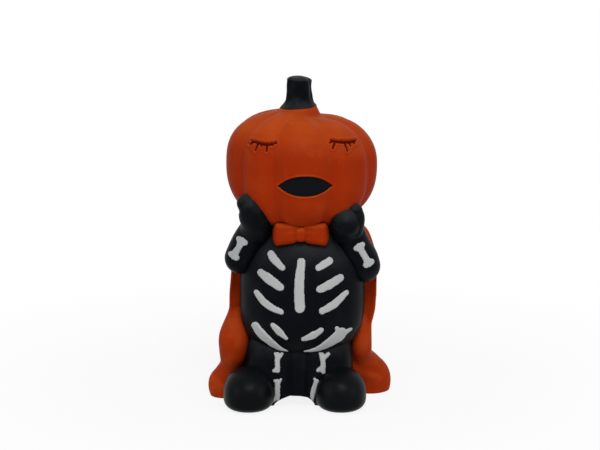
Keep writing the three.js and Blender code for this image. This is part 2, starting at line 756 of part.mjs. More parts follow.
// Leg bones: shares of a leg's half width and of the hip level. Arm bones: shares of the elbow's radius.
const legBoneShares = {
  left: { thigh: [[0.26, 1.155], [0.15, 0.75]], shin: [[0.18, 0.575], [0.08, 0.13]] },
  right: { thigh: [[-0.03, 1.155], [-0.2, 0.75]], shin: [[-0.42, 0.575], [-0.53, 0.13]] },
};
const armBoneShares = { left: [[0.14, 1.02], [-0.24, -0.12]], right: [[-0.38, 1.1], [0, -0.14]] };
const armBoneTurn = 0.15;

const pocketsOf = (solid, inlays) => inlays.reduce((left, { pocket }) => left.subtract(pocket), solid);
const without = (solid, ...cutters) => cutters.reduce((left, cutter) => left.subtract(cutter), solid);

const figure = new THREE.Group();
const groups = {};
for (const name of ['head', 'body', 'cape']) {
  groups[name] = new THREE.Group();
  figure.add(groups[name]);
}
groups.head.position.set(headShift, 0, headLevel);
groups.body.position.set(torsoShift, 0, torsoLevel);

// A mesh in its group, measured from the group's own place
function addPiece(group, name, solid, material) {
  const { vertProperties, triVerts } = solid.getMesh();
  const geometry = new THREE.BufferGeometry();
  geometry.setAttribute('position', new THREE.BufferAttribute(vertProperties, 3));
  geometry.setIndex(new THREE.BufferAttribute(triVerts, 1));
  const { x, y, z } = groups[group].position;
  geometry.translate(-x, -y, -z);
  geometry.computeVertexNormals();
  const mesh = new THREE.Mesh(geometry, material);
  mesh.name = name;
  groups[group].add(mesh);
}

// A sunken piece, and the opening over it that reaches the surface
function sunken(prismAt, depth, thickness) {
  const piece = prismAt(0).intersect(headAt(-depth)).subtract(headAt(-depth - thickness));
  const opening = prismAt(seatGap).subtract(headAt(-depth - thickness - seatGap));
  return { piece, pocket: opening };
}

const mouth = sunken(mouthPrism, mouthDepth, mouthThickness);
const leftEye = sunken((grow) => eyePrism('left', grow), lidDepth, lidThickness);
const rightEye = sunken((grow) => eyePrism('right', grow), lidDepth, lidThickness);
const head = pocketsOf(headAt(0).add(collarSolid()), [mouth, leftEye, rightEye]);
addPiece('head', 'pumpkin_head', head, paint.orange);
addPiece('head', 'stalk', stalkSolid(), paint.black);
addPiece('head', 'mouth', mouth.piece, paint.black);
addPiece('head', 'left_eyelid_line', leftEye.piece, paint.line);
addPiece('head', 'right_eyelid_line', rightEye.piece, paint.line);

addPiece('body', 'torso', pocketsOf(without(torsoAt(0), headCutter), bones), paint.black);
for (const { name, piece } of bones) addPiece('body', name, piece, paint.white);

const legInlays = [];
const feetCutters = [];
const armCutters = [];
for (const side of Object.keys(sides)) {
  addPiece('body', `${side}_foot`, roundedForm(footForm(side)), paint.black);
  const footCutter = roundedForm(footForm(side), seatGap);
  feetCutters.push(footCutter);
  const { x } = legForm(side).centre;
  const legPlace = ([acrossShare, upShare]) => [x + acrossShare * legHalfWidth, upShare * hipLevel];
  for (const [bone, endShares] of Object.entries(legBoneShares[side])) {
    const ends = endShares.map(legPlace);
    const legInlay = inlay(legsAt, (grow) => longBonePrism(ends, grow), boneRise, boneDepth);
    legInlays.push(legInlay);
    const clear = without(legInlay.piece, torsoCutter, footCutter, ...bones.map(({ pocket }) => pocket));
    addPiece('body', `${side}_${bone}_bone`, clear, paint.white);
  }

  const handCutter = handSolid(side, seatGap);
  addPiece('body', `${side}_hand`, without(handSolid(side, 0), headCutter, coarseTorsoCutter), paint.black);
  const armAt = (grow) => armSolid(side, grow);
  const armBoneEnds = armBoneShares[side].map((place) => place.map((share) => share * elbowRadius));
  const armBonePivot = armJoint(side, 'elbow').add(new THREE.Vector3(0, -elbowRadius / 2, 0));
  const armBonePrism = (grow) => longBonePrism(armBoneEnds, grow, sides[side] * armBoneTurn, armBonePivot);
  const armInlay = inlay(armAt, armBonePrism, boneRise, boneDepth);
  const arm = pocketsOf(without(armAt(0), headCutter, coarseTorsoCutter, handCutter), [...bones, armInlay]);
  addPiece('body', `${side}_arm`, arm, paint.black);
  addPiece('body', `${side}_arm_bone`, armInlay.piece, paint.white);

  const armCutter = armAt(seatGap);
  const wingCutters = [headCutter, coarseTorsoCutter, ball(knotForm, seatGap), handCutter, armCutter];
  addPiece('body', `bow_${side}_wing`, without(bowWing(side), ...wingCutters), paint.orange);
  armCutters.push(handCutter, armCutter);
}
addPiece('body', 'bow_knot', without(ball(knotForm), headCutter, coarseTorsoCutter), paint.orange);
const legs = without(legsAt(0), torsoCutter, ...feetCutters, archSolid());
addPiece('body', 'legs', pocketsOf(legs, [...bones, ...legInlays]), paint.black);

// The cape keeps out of the cleft between the legs
const legBlock = roundedForm({
  ...legBackForm,
  centre: new THREE.Vector3(legsShift, 0, legLevel),
  halfDepth: legHalfDepth,
});
const drape = drapeSolid().add(rollSolid('left')).add(rollSolid('right'));
const legCutters = [...feetCutters, legsAt(seatGap), legBlock];
const capeCutters = [headCutter, coarseTorsoCutter, ...armCutters, ...legCutters, floorBlock()];
addPiece('cape', 'cape', without(drape, ...capeCutters), paint.orange);

// The origin is the middle of the footprint
const box = new THREE.Box3().setFromObject(figure);
const middle = box.getCenter(new THREE.Vector3());
figure.position.set(-middle.x, -middle.y, 0);

export default figure;
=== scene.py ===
# A small table figure, cast in one piece and painted by hand: a pumpkin head with closed eyes,
# mitten hands on the cheeks, a skeleton suit, a bow tie and a heavy cape. It faces -Y. Left and
# right are the viewer's. The solids give the places, and each painted piece is sculpted finely
# over the solid it replaces.

import math
from functools import partial

import bmesh
import bpy
import numpy as np
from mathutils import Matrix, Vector
from mathutils.bvhtree import BVHTree


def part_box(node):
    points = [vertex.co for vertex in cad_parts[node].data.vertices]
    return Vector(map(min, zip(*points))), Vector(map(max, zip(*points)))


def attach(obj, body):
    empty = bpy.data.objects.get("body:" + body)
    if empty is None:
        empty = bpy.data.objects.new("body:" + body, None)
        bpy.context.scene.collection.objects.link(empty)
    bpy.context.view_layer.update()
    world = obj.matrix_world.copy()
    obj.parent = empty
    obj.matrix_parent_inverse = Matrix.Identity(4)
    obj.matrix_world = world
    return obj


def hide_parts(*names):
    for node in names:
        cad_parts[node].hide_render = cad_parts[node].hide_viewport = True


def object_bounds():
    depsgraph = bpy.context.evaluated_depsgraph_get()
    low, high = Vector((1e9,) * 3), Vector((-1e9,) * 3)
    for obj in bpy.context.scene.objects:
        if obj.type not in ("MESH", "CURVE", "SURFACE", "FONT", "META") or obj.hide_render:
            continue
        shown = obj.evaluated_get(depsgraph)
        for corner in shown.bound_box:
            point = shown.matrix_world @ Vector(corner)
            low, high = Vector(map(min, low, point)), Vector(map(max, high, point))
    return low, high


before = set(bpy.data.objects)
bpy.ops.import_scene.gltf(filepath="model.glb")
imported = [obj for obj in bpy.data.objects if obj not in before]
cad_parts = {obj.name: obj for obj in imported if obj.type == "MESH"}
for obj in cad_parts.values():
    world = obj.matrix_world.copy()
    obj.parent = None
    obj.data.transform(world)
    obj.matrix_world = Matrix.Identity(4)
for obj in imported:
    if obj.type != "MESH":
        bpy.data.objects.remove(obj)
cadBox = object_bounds()
mm = 0.001
sides = ("left", "right")


def boxOf(*nodes):
    corners = np.array([[list(corner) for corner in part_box(node)] for node in nodes])
    return corners[:, 0].min(axis=0), corners[:, 1].max(axis=0)


def middleOf(node):
    low, high = boxOf(node)
    return (low + high) / 2


# Places in millimetres were measured with the torso's middle at this x and y, and they follow
# the torso
torsoPlace = np.array([0.93, -2.54]) * mm
shift = np.array([*(middleOf("torso")[:2] - torsoPlace), 0])


def placed(places):
    places = np.array(places, dtype=float) * mm
    places[..., :3] += shift
    return places


# The same for places on the front, [x, z]
def placedInFront(places):
    return np.array(places, dtype=float) * mm + shift[[0, 2]]


def between(low, high, share):
    return low + (high - low) * share


def smoothStep(low, high, value):
    share = np.clip((value - low) / (high - low), 0, 1)
    return share * share * (3 - 2 * share)


def turnsOf(count):
    return np.linspace(0, 2 * math.pi, count, endpoint=False)


# The polar form of a superellipse: fullness 2 is an ellipse, more is squarer
def superEllipse(angle, fullness):
    cosine, sine = np.cos(angle), np.sin(angle)
    reach = (np.abs(cosine) ** fullness + np.abs(sine) ** fullness) ** (-1 / fullness)
    return reach * cosine, reach * sine


# A smooth line through a few points of any dimension
def smoothLine(points, count):
    points = np.array(points, dtype=float)
    padded = np.concatenate([[2 * points[0] - points[1]], points, [2 * points[-1] - points[-2]]])
    places = np.linspace(0, len(points) - 1, count)
    spans = np.minimum(places.astype(int), len(points) - 2)
    t = (places - spans)[:, None]
    before, start, end, after = (padded[spans + offset] for offset in range(4))
    return 0.5 * (
        2 * start
        + (end - before) * t
        + (2 * before - 5 * start + 4 * end - after) * t**2
        + (3 * start - before - 3 * end + after) * t**3
    )


def linkPiece(name, data):
    piece = bpy.data.objects.new(name, data)
    bpy.context.scene.collection.objects.link(piece)
    return piece


def newPiece(name, points, faces):
    mesh = bpy.data.meshes.new(name)
    mesh.from_pydata([tuple(point) for point in points], [], faces)
    mesh.update()
    return linkPiece(name, mesh)


# A closed body from an array of rings, which run anticlockwise seen from above, from the lowest up
def ringBody(name, rings):
    rows, columns = rings.shape[:2]
    ends = [ring.mean(axis=0)[None] for ring in (rings[0], rings[-1])]
    points = np.concatenate([ends[0], rings.reshape(-1, 3), ends[1]])
    last = len(points) - 1
    faces = []
    for column in range(columns):
        following = (column + 1) % columns
        faces.append((0, 1 + following, 1 + column))
        for row in range(rows - 1):
            low, high = 1 + row * columns, 1 + (row + 1) * columns
            faces.append((low + column, low + following, high + following, high + column))
        top = 1 + (rows - 1) * columns
        faces.append((last, top + column, top + following))
    return newPiece(name, points, faces)


# Melts overlapping bodies into one skin with soft creases
def fuse(name, parts, grain, smoothing):
    joined = bmesh.new()
    for part in parts:
        joined.from_mesh(part.data)
        bpy.data.objects.remove(part)
    mesh = bpy.data.meshes.new(name)
    joined.to_mesh(mesh)
    joined.free()
    piece = linkPiece(name, mesh)
    remesh = piece.modifiers.new("skin", "REMESH")
    remesh.mode = "VOXEL"
    remesh.voxel_size = grain
    soften = piece.modifiers.new("soften", "SMOOTH")
    soften.factor = 0.5
    soften.iterations = smoothing
    graph = bpy.context.evaluated_depsgraph_get()
    made = bpy.data.meshes.new_from_object(piece.evaluated_get(graph))
    piece.modifiers.clear()
    piece.data = made
    bpy.data.meshes.remove(mesh)
    return piece


def pointsOf(piece):
    points = np.empty(len(piece.data.vertices) * 3)
    piece.data.vertices.foreach_get("co", points)
    return points.reshape(-1, 3)


def setPoints(piece, points):
    piece.data.vertices.foreach_set("co", points.ravel())
    piece.data.update()


def normalsOf(piece):
    normals = np.empty(len(piece.data.vertices) * 3)
    piece.data.vertex_normals.foreach_get("vector", normals)
    return normals.reshape(-1, 3)


def skinOf(piece):
    faces = [tuple(face.vertices) for face in piece.data.polygons]
    return BVHTree.FromPolygons([tuple(point) for point in pointsOf(piece)], faces)


# For the paint: how far each point stands out of its surroundings (1) or lies in a crease (-1)
def markRelief(piece, passes=14, depth=0.1 * mm):
    points, normals = pointsOf(piece), normalsOf(piece)
    edges = np.empty(len(piece.data.edges) * 2, dtype=int)
    piece.data.edges.foreach_get("vertices", edges)
    first, second = edges.reshape(-1, 2).T
    count = np.bincount(np.concatenate([first, second]), minlength=len(points))
    count = np.maximum(1, count)[:, None]
    smooth = points.copy()
    for _ in range(passes):
        total = np.stack(
            [
                np.bincount(first, smooth[second, axis], len(points))
                + np.bincount(second, smooth[first, axis], len(points))
                for axis in range(3)
            ],
            axis=1,
        )
        smooth = (smooth + total / count) / 2
    relief = np.einsum("ij,ij->i", points - smooth, normals)
    relief = np.clip(relief / depth, -1, 1)
    attribute = piece.data.attributes.new("relief", "FLOAT", "POINT")
    attribute.data.foreach_set("value", relief.astype(np.float32))


def finishPiece(piece, nodes, material):
    piece.data.materials.clear()
    piece.data.materials.append(material)
    piece.data.polygons.foreach_set("use_smooth", [True] * len(piece.data.polygons))
    markRelief(piece)
    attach(piece, "root")
    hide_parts(*nodes)
    return piece


# Paint. Every coat is a group of the same kind: mottled colour, fine brush marks, worn edges,
# painted shade that darkens the creases, and a painted highlight on faces that point up.
def linear(red, green, blue):
    def one(value):
        share = value / 255
        return share / 12.92 if share <= 0.04045 else ((share + 0.055) / 1.055) ** 2.4

    return (one(red), one(green), one(blue), 1)


def addNode(tree, kind, links=(), **settings):
    node = tree.nodes.new(kind)
    values = settings.pop("values", {})
    for name, value in settings.items():
        setattr(node, name, value)
    for socket, value in values.items():
        node.inputs[socket].default_value = value
    for socket, source in dict(links).items():
        tree.links.new(source, node.inputs[socket])
    return node


def maths(tree, operation, first, second):
    return addNode(tree, "ShaderNodeMath", {0: first, 1: second}, operation=operation).outputs[0]


# A mask starts and ends at its first two values, and gives its last two there instead of 0 and 1
brush = {
    "mottleScale": 95,
    "patchScale": 38,
    "streakScale": (900, 900, 170),
    "grainScale": 2600,
    "roughness": 0.6,
    "thinPaint": (0.42, 0.62),
    "wornEdges": (0.18, 0.9),
    "scuffStreaks": (0.6, 0.75),
    "scuffPatches": (0.52, 0.66),
    "deepPatches": (0.35, 0.72, 0.0, 0.3),
    "fadedMottle": (0.5, 0.75, 0.0, 0.3),
    # Painted shade in the creases
    "shadedCreases": (-0.3, -1.0, 0.0, 0.4),
    # The next two shape the painted highlight: faces that point up are lightened
    "highlightFacingUp": (0.15, 0.9),
    "highlightMottle": (0.3, 0.6, 0.6, 1.0),
    "unevenGloss": (0.3, 0.7, -0.07, 0.09),
    "bumpStrength": 0.35,
    "bumpDistance": 0.05 * mm,
}


def makePaintGroup():
    tree = bpy.data.node_groups.new("handPaint", "ShaderNodeTree")
    for label in ("Colour", "Deep", "WornAndHighlight"):
        tree.interface.new_socket(label, in_out="INPUT", socket_type="NodeSocketColor")
    for label in ("Wear", "TopHighlight", "Gloss"):
        tree.interface.new_socket(label, in_out="INPUT", socket_type="NodeSocketFloat")
    for label, kind in (("Colour", "Color"), ("Roughness", "Float"), ("Normal", "Vector")):
        tree.interface.new_socket(label, in_out="OUTPUT", socket_type=f"NodeSocket{kind}")
    given = tree.nodes.new("NodeGroupInput").outputs
    place = tree.nodes.new("ShaderNodeTexCoord").outputs["Object"]

    def noiseAt(scale, detail, vector=place):
        values = {"Scale": scale, "Detail": detail, "Roughness": brush["roughness"]}
        return addNode(tree, "ShaderNodeTexNoise", {"Vector": vector}, values=values).outputs["Fac"]

    def spread(mask, low, high, toLow=0.0, toHigh=1.0):
        values = {"From Min": low, "From Max": high, "To Min": toLow, "To Max": toHigh}
        return addNode(tree, "ShaderNodeMapRange", {"Value": mask}, values=values).outputs["Result"]

    def times(first, second):
        return maths(tree, "MULTIPLY", first, second)

    def mixed(share, first, second):
        links = {"Factor": share, "A": first, "B": second}
        node = addNode(tree, "ShaderNodeMix", links, data_type="RGBA")
        return next(output for output in node.outputs if output.type == "RGBA")

    mottle = noiseAt(brush["mottleScale"], 5)
    patches = noiseAt(brush["patchScale"], 2)
    values = {"Scale": brush["streakScale"]}
    stretched = addNode(tree, "ShaderNodeMapping", {"Vector": place}, values=values).outputs[0]
    streaks = noiseAt(1, 3, stretched)
    grain = noiseAt(brush["grainScale"], 2)
    relief = addNode(tree, "ShaderNodeAttribute", attribute_name="relief").outputs["Fac"]
    facing = tree.nodes.new("ShaderNodeTexCoord").outputs["Normal"]
    upward = addNode(tree, "ShaderNodeSeparateXYZ", {0: facing}).outputs["Z"]

    thin = times(spread(mottle, *brush["thinPaint"]), given["Wear"])
    worn = times(spread(relief, *brush["wornEdges"]), thin)
    scuffs = times(spread(streaks, *brush["scuffStreaks"]), spread(patches, *brush["scuffPatches"]))
    faded = times(spread(mottle, *brush["fadedMottle"]), given["Wear"])
    # Painted highlight: faces that point up are lightened towards the lightest colour, as if lit
    # from above
    paintedHighlight = times(spread(upward, *brush["highlightFacingUp"]), spread(mottle, *brush["highlightMottle"]))
    colour = mixed(spread(patches, *brush["deepPatches"]), given["Colour"], given["Deep"])
    colour = mixed(faded, colour, given["WornAndHighlight"])
    # Painted shade: creases are darkened towards the deep colour
    colour = mixed(spread(relief, *brush["shadedCreases"]), colour, given["Deep"])
    for share in (times(paintedHighlight, given["TopHighlight"]), times(scuffs, given["Wear"]), worn):
        colour = mixed(share, colour, given["WornAndHighlight"])

    uneven = spread(mottle, *brush["unevenGloss"])
    height = maths(tree, "ADD", streaks, grain)
    values = {"Strength": brush["bumpStrength"], "Distance": brush["bumpDistance"]}
    bump = addNode(tree, "ShaderNodeBump", {"Height": height}, values=values)
    result = tree.nodes.new("NodeGroupOutput").inputs
    tree.links.new(colour, result["Colour"])
    tree.links.new(maths(tree, "ADD", given["Gloss"], uneven), result["Roughness"])
    tree.links.new(bump.outputs["Normal"], result["Normal"])
    return tree


paintGroup = makePaintGroup()

# Colours are in steps of 0 to 255
# In each paint the lightest colour serves both its wear and its painted highlight on faces that
# point up. The feet's black is nearly the black paint, with less painted highlight, a darker
# lightest colour and a little more shine.
paints = {
    "orangePaint": {
        "Colour": (145, 40, 4), "Deep": (106, 21, 3), "WornAndHighlight": (190, 82, 30),
        "Wear": 0.28, "TopHighlight": 0.55, "Gloss": 0.5, "Shine": 0.03,
    },
    "capePaint": {
        "Colour": (148, 44, 6), "Deep": (104, 22, 4), "WornAndHighlight": (182, 74, 28),
        "Wear": 0.3, "TopHighlight": 0.15, "Gloss": 0.5, "Shine": 0.03,
    },
    "blackPaint": {
        "Colour": (7, 9, 13), "Deep": (4, 5, 7), "WornAndHighlight": (56, 59, 62),
        "Wear": 0.12, "TopHighlight": 0.5, "Gloss": 0.4, "Shine": 0.03,
    },
    "footPaint": {
        "Colour": (6, 9, 11), "Deep": (4, 5, 7), "WornAndHighlight": (36, 39, 42),
        "Wear": 0.1, "TopHighlight": 0.08, "Gloss": 0.36, "Shine": 0.045,
    },
    "whitePaint": {
        "Colour": (168, 172, 171), "Deep": (122, 126, 128), "WornAndHighlight": (186, 188, 186),
        "Wear": 0.4, "TopHighlight": 0.1, "Gloss": 0.6, "Shine": 0.1,
    },
    "linePaint": {
        "Colour": (70, 5, 0), "Deep": (44, 3, 0), "WornAndHighlight": (104, 26, 6),
        "Wear": 0.2, "TopHighlight": 0.1, "Gloss": 0.6, "Shine": 0.02,
    },
    "mouthPaint": {
        "Colour": (12, 15, 19), "Deep": (7, 8, 11), "WornAndHighlight": (22, 26, 30),
        "Wear": 0.2, "TopHighlight": 0.1, "Gloss": 0.6, "Shine": 0.03,
    },
}


def makePaint(name):
    material = bpy.data.materials.new(name)
    material.use_nodes = True
    tree = material.node_tree
    shader = tree.nodes["Principled BSDF"]
    coat = tree.nodes.new("ShaderNodeGroup")
    coat.node_tree = paintGroup
    look = dict(paints[name])
    shader.inputs["Specular IOR Level"].default_value = look.pop("Shine")
    for label, value in look.items():
        coat.inputs[label].default_value = linear(*value) if isinstance(value, tuple) else value
    for output, socket in zip(coat.outputs, ("Base Color", "Roughness", "Normal")):
        tree.links.new(output, shader.inputs[socket])
    return material


mixedPaints = map(makePaint, paints)
orangePaint, capePaint, blackPaint, footPaint, whitePaint, linePaint, mouthPaint = mixedPaints
print("paints mixed")

# Head: ribs of unequal width that meet in narrow grooves, a raised collar round the stalk, a
# shoulder that is lower on the right, and the openings for the mouth and the closed eyes. Bearings
# are in degrees from the front, positive to the viewer's right. A blend runs between two values of
# the bearing's sine, and of its cosine for the front.
head = {
    "columns": 400,
    "rows": 190,
    "centre": (0.63, -2.54, 80.8),
    "halfWidth": 25.2 * mm,
    "halfDepth": 22.5 * mm,
    "rise": 18.0 * mm,
    "drop": 20.6 * mm,
    "leftRiseFullness": 2.75,
    "rightRiseFullness": 2.2,
    "leftDropFullness": 2.3,
    "rightDropFullness": 2.45,
    "frontDropFullness": 3.1,
    "grooveBearings": (-140, -98, -55, -21, 24, 67, 104, 142, 180),
    "grooveDepth": 0.75 * mm,
    "grooveHalfAngle": 5.5,
    "ribCrown": 0.55 * mm,
    "ridgeHeight": 0.12 * mm,
    "collarInner": 5.2 * mm,
    "collarOuter": 7.5 * mm,
    "collarRise": 1.5 * mm,
    "collarTilt": 0.07,
    "rightDip": 1.4 * mm,
    "dipReach": 20 * mm,
    "plainRadius": 11 * mm,
    "riseBlend": (-0.6, 0.8),
    "dropBlend": (-0.6, 0.6),
    "frontBlend": (0.1, 0.85),
    "dipBlend": (-0.1, 0.8),
    "dipStart": 0.8,  # in collarOuter
    "ridgePlace": 1.9,  # in grooveHalfAngle
    "floorGrooves": 0.6,  # how much of the grooves the mouth's floor shows
}
stalkAxis = middleOf("stalk")
headCentre = placed(head["centre"])


def headSurface(bearing, climb, grooved=1.0):
    upper = climb > 0
    sine, cosine = np.sin(bearing), np.cos(bearing)
    rightward = smoothStep(*head["riseBlend"], sine)
    riseFullness = between(head["leftRiseFullness"], head["rightRiseFullness"], rightward)
    rightward = smoothStep(*head["dropBlend"], sine)
    dropFullness = between(head["leftDropFullness"], head["rightDropFullness"], rightward)
    frontward = smoothStep(*head["frontBlend"], cosine)
    dropFullness = between(dropFullness, head["frontDropFullness"], frontward)
    spread, level = superEllipse(climb, np.where(upper, riseFullness, dropFullness))
    height = np.where(upper, head["rise"], head["drop"]) * level
    x = headCentre[0] + sine * spread * head["halfWidth"]
    y = headCentre[1] - cosine * spread * head["halfDepth"]
    aside = x - stalkAxis[0]
    reach = np.hypot(aside, y - stalkAxis[1])

    # Grooves with a slight ridge along each side, and the crowns of the ribs between them
    offsets = (np.degrees(bearing)[..., None] - np.array(head["grooveBearings"]) + 180) % 360 - 180
    nearest = np.abs(offsets).min(axis=-1) / head["grooveHalfAngle"]
    ahead = np.where(offsets > 0, offsets, 360).min(axis=-1)
    behind = np.where(offsets <= 0, -offsets, 360).min(axis=-1)
    across = 2 * ahead / (ahead + behind) - 1
    fade = np.clip(np.cos(climb), 0, 1) ** 0.5
    fade = np.where(upper, fade * smoothStep(head["collarOuter"], head["plainRadius"], reach), fade)
    sink = head["grooveDepth"] / (1 + nearest**2)
    sink = sink + head["ribCrown"] * np.sin(across * math.pi / 2) ** 2
    sink = sink - head["ridgeHeight"] * np.exp(-((nearest - head["ridgePlace"]) ** 2))
    inward = 1 - grooved * sink * fade / head["halfDepth"]

    # The collar, and the dip to its right
    dip = head["rightDip"] * smoothStep(*head["dipBlend"], aside / reach)
    collar = head["collarRise"] + dip + head["collarTilt"] * aside
    collar = collar * (1 - smoothStep(head["collarInner"], head["collarOuter"], reach))
    dipStart = head["dipStart"] * head["collarOuter"]
    collar = collar - dip * (1 - smoothStep(dipStart, head["dipReach"], reach))
    z = headCentre[2] + height * inward + np.where(upper, collar, 0)
    x, y = between(headCentre[0], x, inward), between(headCentre[1], y, inward)
    return np.stack([x, y, z], axis=-1)


climbs = np.linspace(-math.pi / 2, math.pi / 2, head["rows"] + 2)[1:-1]
headGrid = np.meshgrid(turnsOf(head["columns"]), climbs)
headPiece = ringBody("sculpted_head", headSurface(*headGrid))
headSkin = skinOf(headPiece)
plainHead = ringBody("plain_head", headSurface(*headGrid, head["floorGrooves"]))
plainSkin = skinOf(plainHead)
bpy.data.objects.remove(plainHead)


# Where a line along the sight of the front view meets a skin, and the skin's direction there
def frontOf(skin, x, z):
    place, normal, _, _ = skin.ray_cast(Vector((x, cadBox[0].y - 10 * mm, z)), Vector((0, 1, 0)))
    return (None, None) if place is None else (np.array(place), np.array(normal))


mouth = {
    "place": placedInFront([1.8, 76.6]),
    "halfWidth": 8.75 * mm,
    "upper": 3.45 * mm,
    "lower": 3.2 * mm,
    "fullness": 2.4,
    "depth": 0.85 * mm,
    "edge": 0.22 * mm,
    "lipHeight": 0.17 * mm,
    "lipPlace": 1.6,  # in edge
    "recess": 1.6,  # in depth, behind the plain head
    "lensRise": 0.1 * mm,
    "lensDrop": 0.3 * mm,
    "lensEdge": (-0.05 * mm, 0.35 * mm),
    "backing": 0.5 * mm,
    "grain": 0.2 * mm,
    "fineReach": (-1.2 * mm, 1 * mm),
    "fineCuts": 2,
}


# How far a place on the face lies outside the mouth's edge, below zero inside it
def mouthDistance(x, z):
    across = np.clip(np.abs(x - mouth["place"][0]) / mouth["halfWidth"], 0, 1.2)
    height = np.where(z > mouth["place"][1], mouth["upper"], mouth["lower"])
    edge = height * (1 - across ** mouth["fullness"])
    slope = height * mouth["fullness"] * across ** (mouth["fullness"] - 1) / mouth["halfWidth"]
    return (np.abs(z - mouth["place"][1]) - edge) / np.sqrt(1 + slope**2)


# Distance to a smooth line of [x, z] points, less a half width that may change along it
def strokeDistance(x, z, places, halfWidths, steps):
    line = smoothLine(places, steps)
    halves = np.interp(np.linspace(0, 1, steps), np.linspace(0, 1, len(halfWidths)), halfWidths)
    least = np.full(np.shape(x), 1.0)
    for step in range(steps - 1):
        startX, startZ = line[step]
        alongX, alongZ = line[step + 1] - line[step]
        length = alongX**2 + alongZ**2 + 1e-18
        share = np.clip(((x - startX) * alongX + (z - startZ) * alongZ) / length, 0, 1)
        gap = np.hypot(x - startX - share * alongX, z - startZ - share * alongZ)
        least = np.minimum(least, gap - between(halves[step], halves[step + 1], share))
    return least


def strokesDistance(x, z, strokes, steps=16):
    return np.minimum.reduce([strokeDistance(x, z, *stroke, steps) for stroke in strokes])


# Closed eyes: a sagging lid line with lashes and a short fork. Places are [x, z] in millimetres.
# The half widths are shares of the line's width and of the lash's.
eyes = {
    "lineWidth": 0.74 * mm,
    "lineHalves": (0.25, 0.5, 0.5, 0.3),
    "lashWidth": 0.5 * mm,
    "lashHalves": (0.55, 0.25),
    "carveWidth": 0.38 * mm,
    "carveDepth": 0.34 * mm,
    "lipHeight": 0.13 * mm,
    "lipPlace": 1.5,  # in carveWidth
    "lineSink": 0.2 * mm,
    "lineDrop": 0.3 * mm,
    "lineEdge": (-0.05 * mm, 0.25 * mm),
    "backing": 0.7 * mm,
    "grain": 0.14 * mm,
    "fineReach": (-math.inf, 0.8 * mm),
    "fineCuts": 3,
    "lids": {
        "left": [
            [-15.6, 90.35], [-14.2, 90.4], [-12.4, 90.0],
            [-10.8, 89.85], [-9.1, 89.95], [-7.6, 90.45],
        ],
        "right": [[10.1, 90.95], [11.9, 90.6], [14.3, 90.25], [16.8, 90.1], [18.3, 90.2]],
    },
    "lashes": {
        "left": [
            [[-13.4, 90.3], [-14.3, 87.8]],
            [[-12.1, 90.1], [-12.4, 89.2]],
            [[-10.4, 90.05], [-10.6, 87.8]],
            [[-8.9, 90.2], [-8.7, 89.6]],
            [[-15.0, 90.4], [-16.2, 89.4]],
        ],
        "right": [
            [[11.5, 90.6], [10.7, 88.5]],
            [[14.6, 90.25], [15.6, 87.5]],
            [[16, 90.2], [16.7, 88.9]],
            [[17.2, 90.15], [18.1, 89.5]],
            [[10.8, 90.9], [9.9, 90.3]],
        ],
    },
}


def eyeLines(side):
    line = [share * eyes["lineWidth"] for share in eyes["lineHalves"]]
    lash = [share * eyes["lashWidth"] for share in eyes["lashHalves"]]
    lashes = [(placedInFront(places), lash) for places in eyes["lashes"][side]]
    return [(placedInFront(eyes["lids"][side]), line), *lashes]


def eyeDistance(side, x, z):
    return strokesDistance(x, z, eyeLines(side), steps=8)


# The face is refined before it is carved
refined = bmesh.new()
refined.from_mesh(headPiece.data)


def refineFace(distanceAt, reach, cuts):
    centres = np.array([face.calc_center_median() for face in refined.faces])
    gaps = distanceAt(centres[:, 0], centres[:, 2])
    near = (gaps > reach[0]) & (gaps < reach[1]) & (centres[:, 1] < headCentre[1])
    refined.faces.ensure_lookup_table()
    chosen = [refined.faces[index] for index in np.flatnonzero(near)]
    edges = list({edge for face in chosen for edge in face.edges})
    bmesh.ops.subdivide_edges(refined, edges=edges, cuts=cuts, use_grid_fill=True)


for side in sides:
    refineFace(partial(eyeDistance, side), eyes["fineReach"], eyes["fineCuts"])
refineFace(mouthDistance, mouth["fineReach"], mouth["fineCuts"])
refined.to_mesh(headPiece.data)
refined.free()
headPiece.data.update()

points, normals = pointsOf(headPiece), normalsOf(headPiece)
frontal = points[:, 1] < headCentre[1]
sink = np.zeros(len(points))
for side in sides:
    gap = eyeDistance(side, points[:, 0], points[:, 2])
    carve = eyes["carveDepth"] * smoothStep(eyes["carveWidth"], 0, gap)
    lipPlace = eyes["lipPlace"] * eyes["carveWidth"]
    lip = eyes["lipHeight"] * np.exp(-(((gap - lipPlace) / eyes["carveWidth"]) ** 2))
    sink = sink + carve - lip
points = points - normals * (sink * frontal)[:, None]
gap = mouthDistance(points[:, 0], points[:, 2])
lip = np.exp(-((gap / mouth["edge"] - mouth["lipPlace"]) ** 2) / 2)
points = points + normals * (mouth["lipHeight"] * lip * frontal)[:, None]
opened = smoothStep(mouth["edge"], -mouth["edge"], gap) * frontal
for index in np.flatnonzero(opened > 0):
    floorAt = frontOf(plainSkin, points[index, 0], points[index, 2])[0]
    if floorAt is not None:
        recess = floorAt[1] + mouth["recess"] * mouth["depth"]
        points[index, 1] = between(points[index, 1], recess, opened[index])
setPoints(headPiece, points)
finishPiece(headPiece, ["pumpkin_head"], orangePaint)
print("head sculpted", len(headPiece.data.vertices))


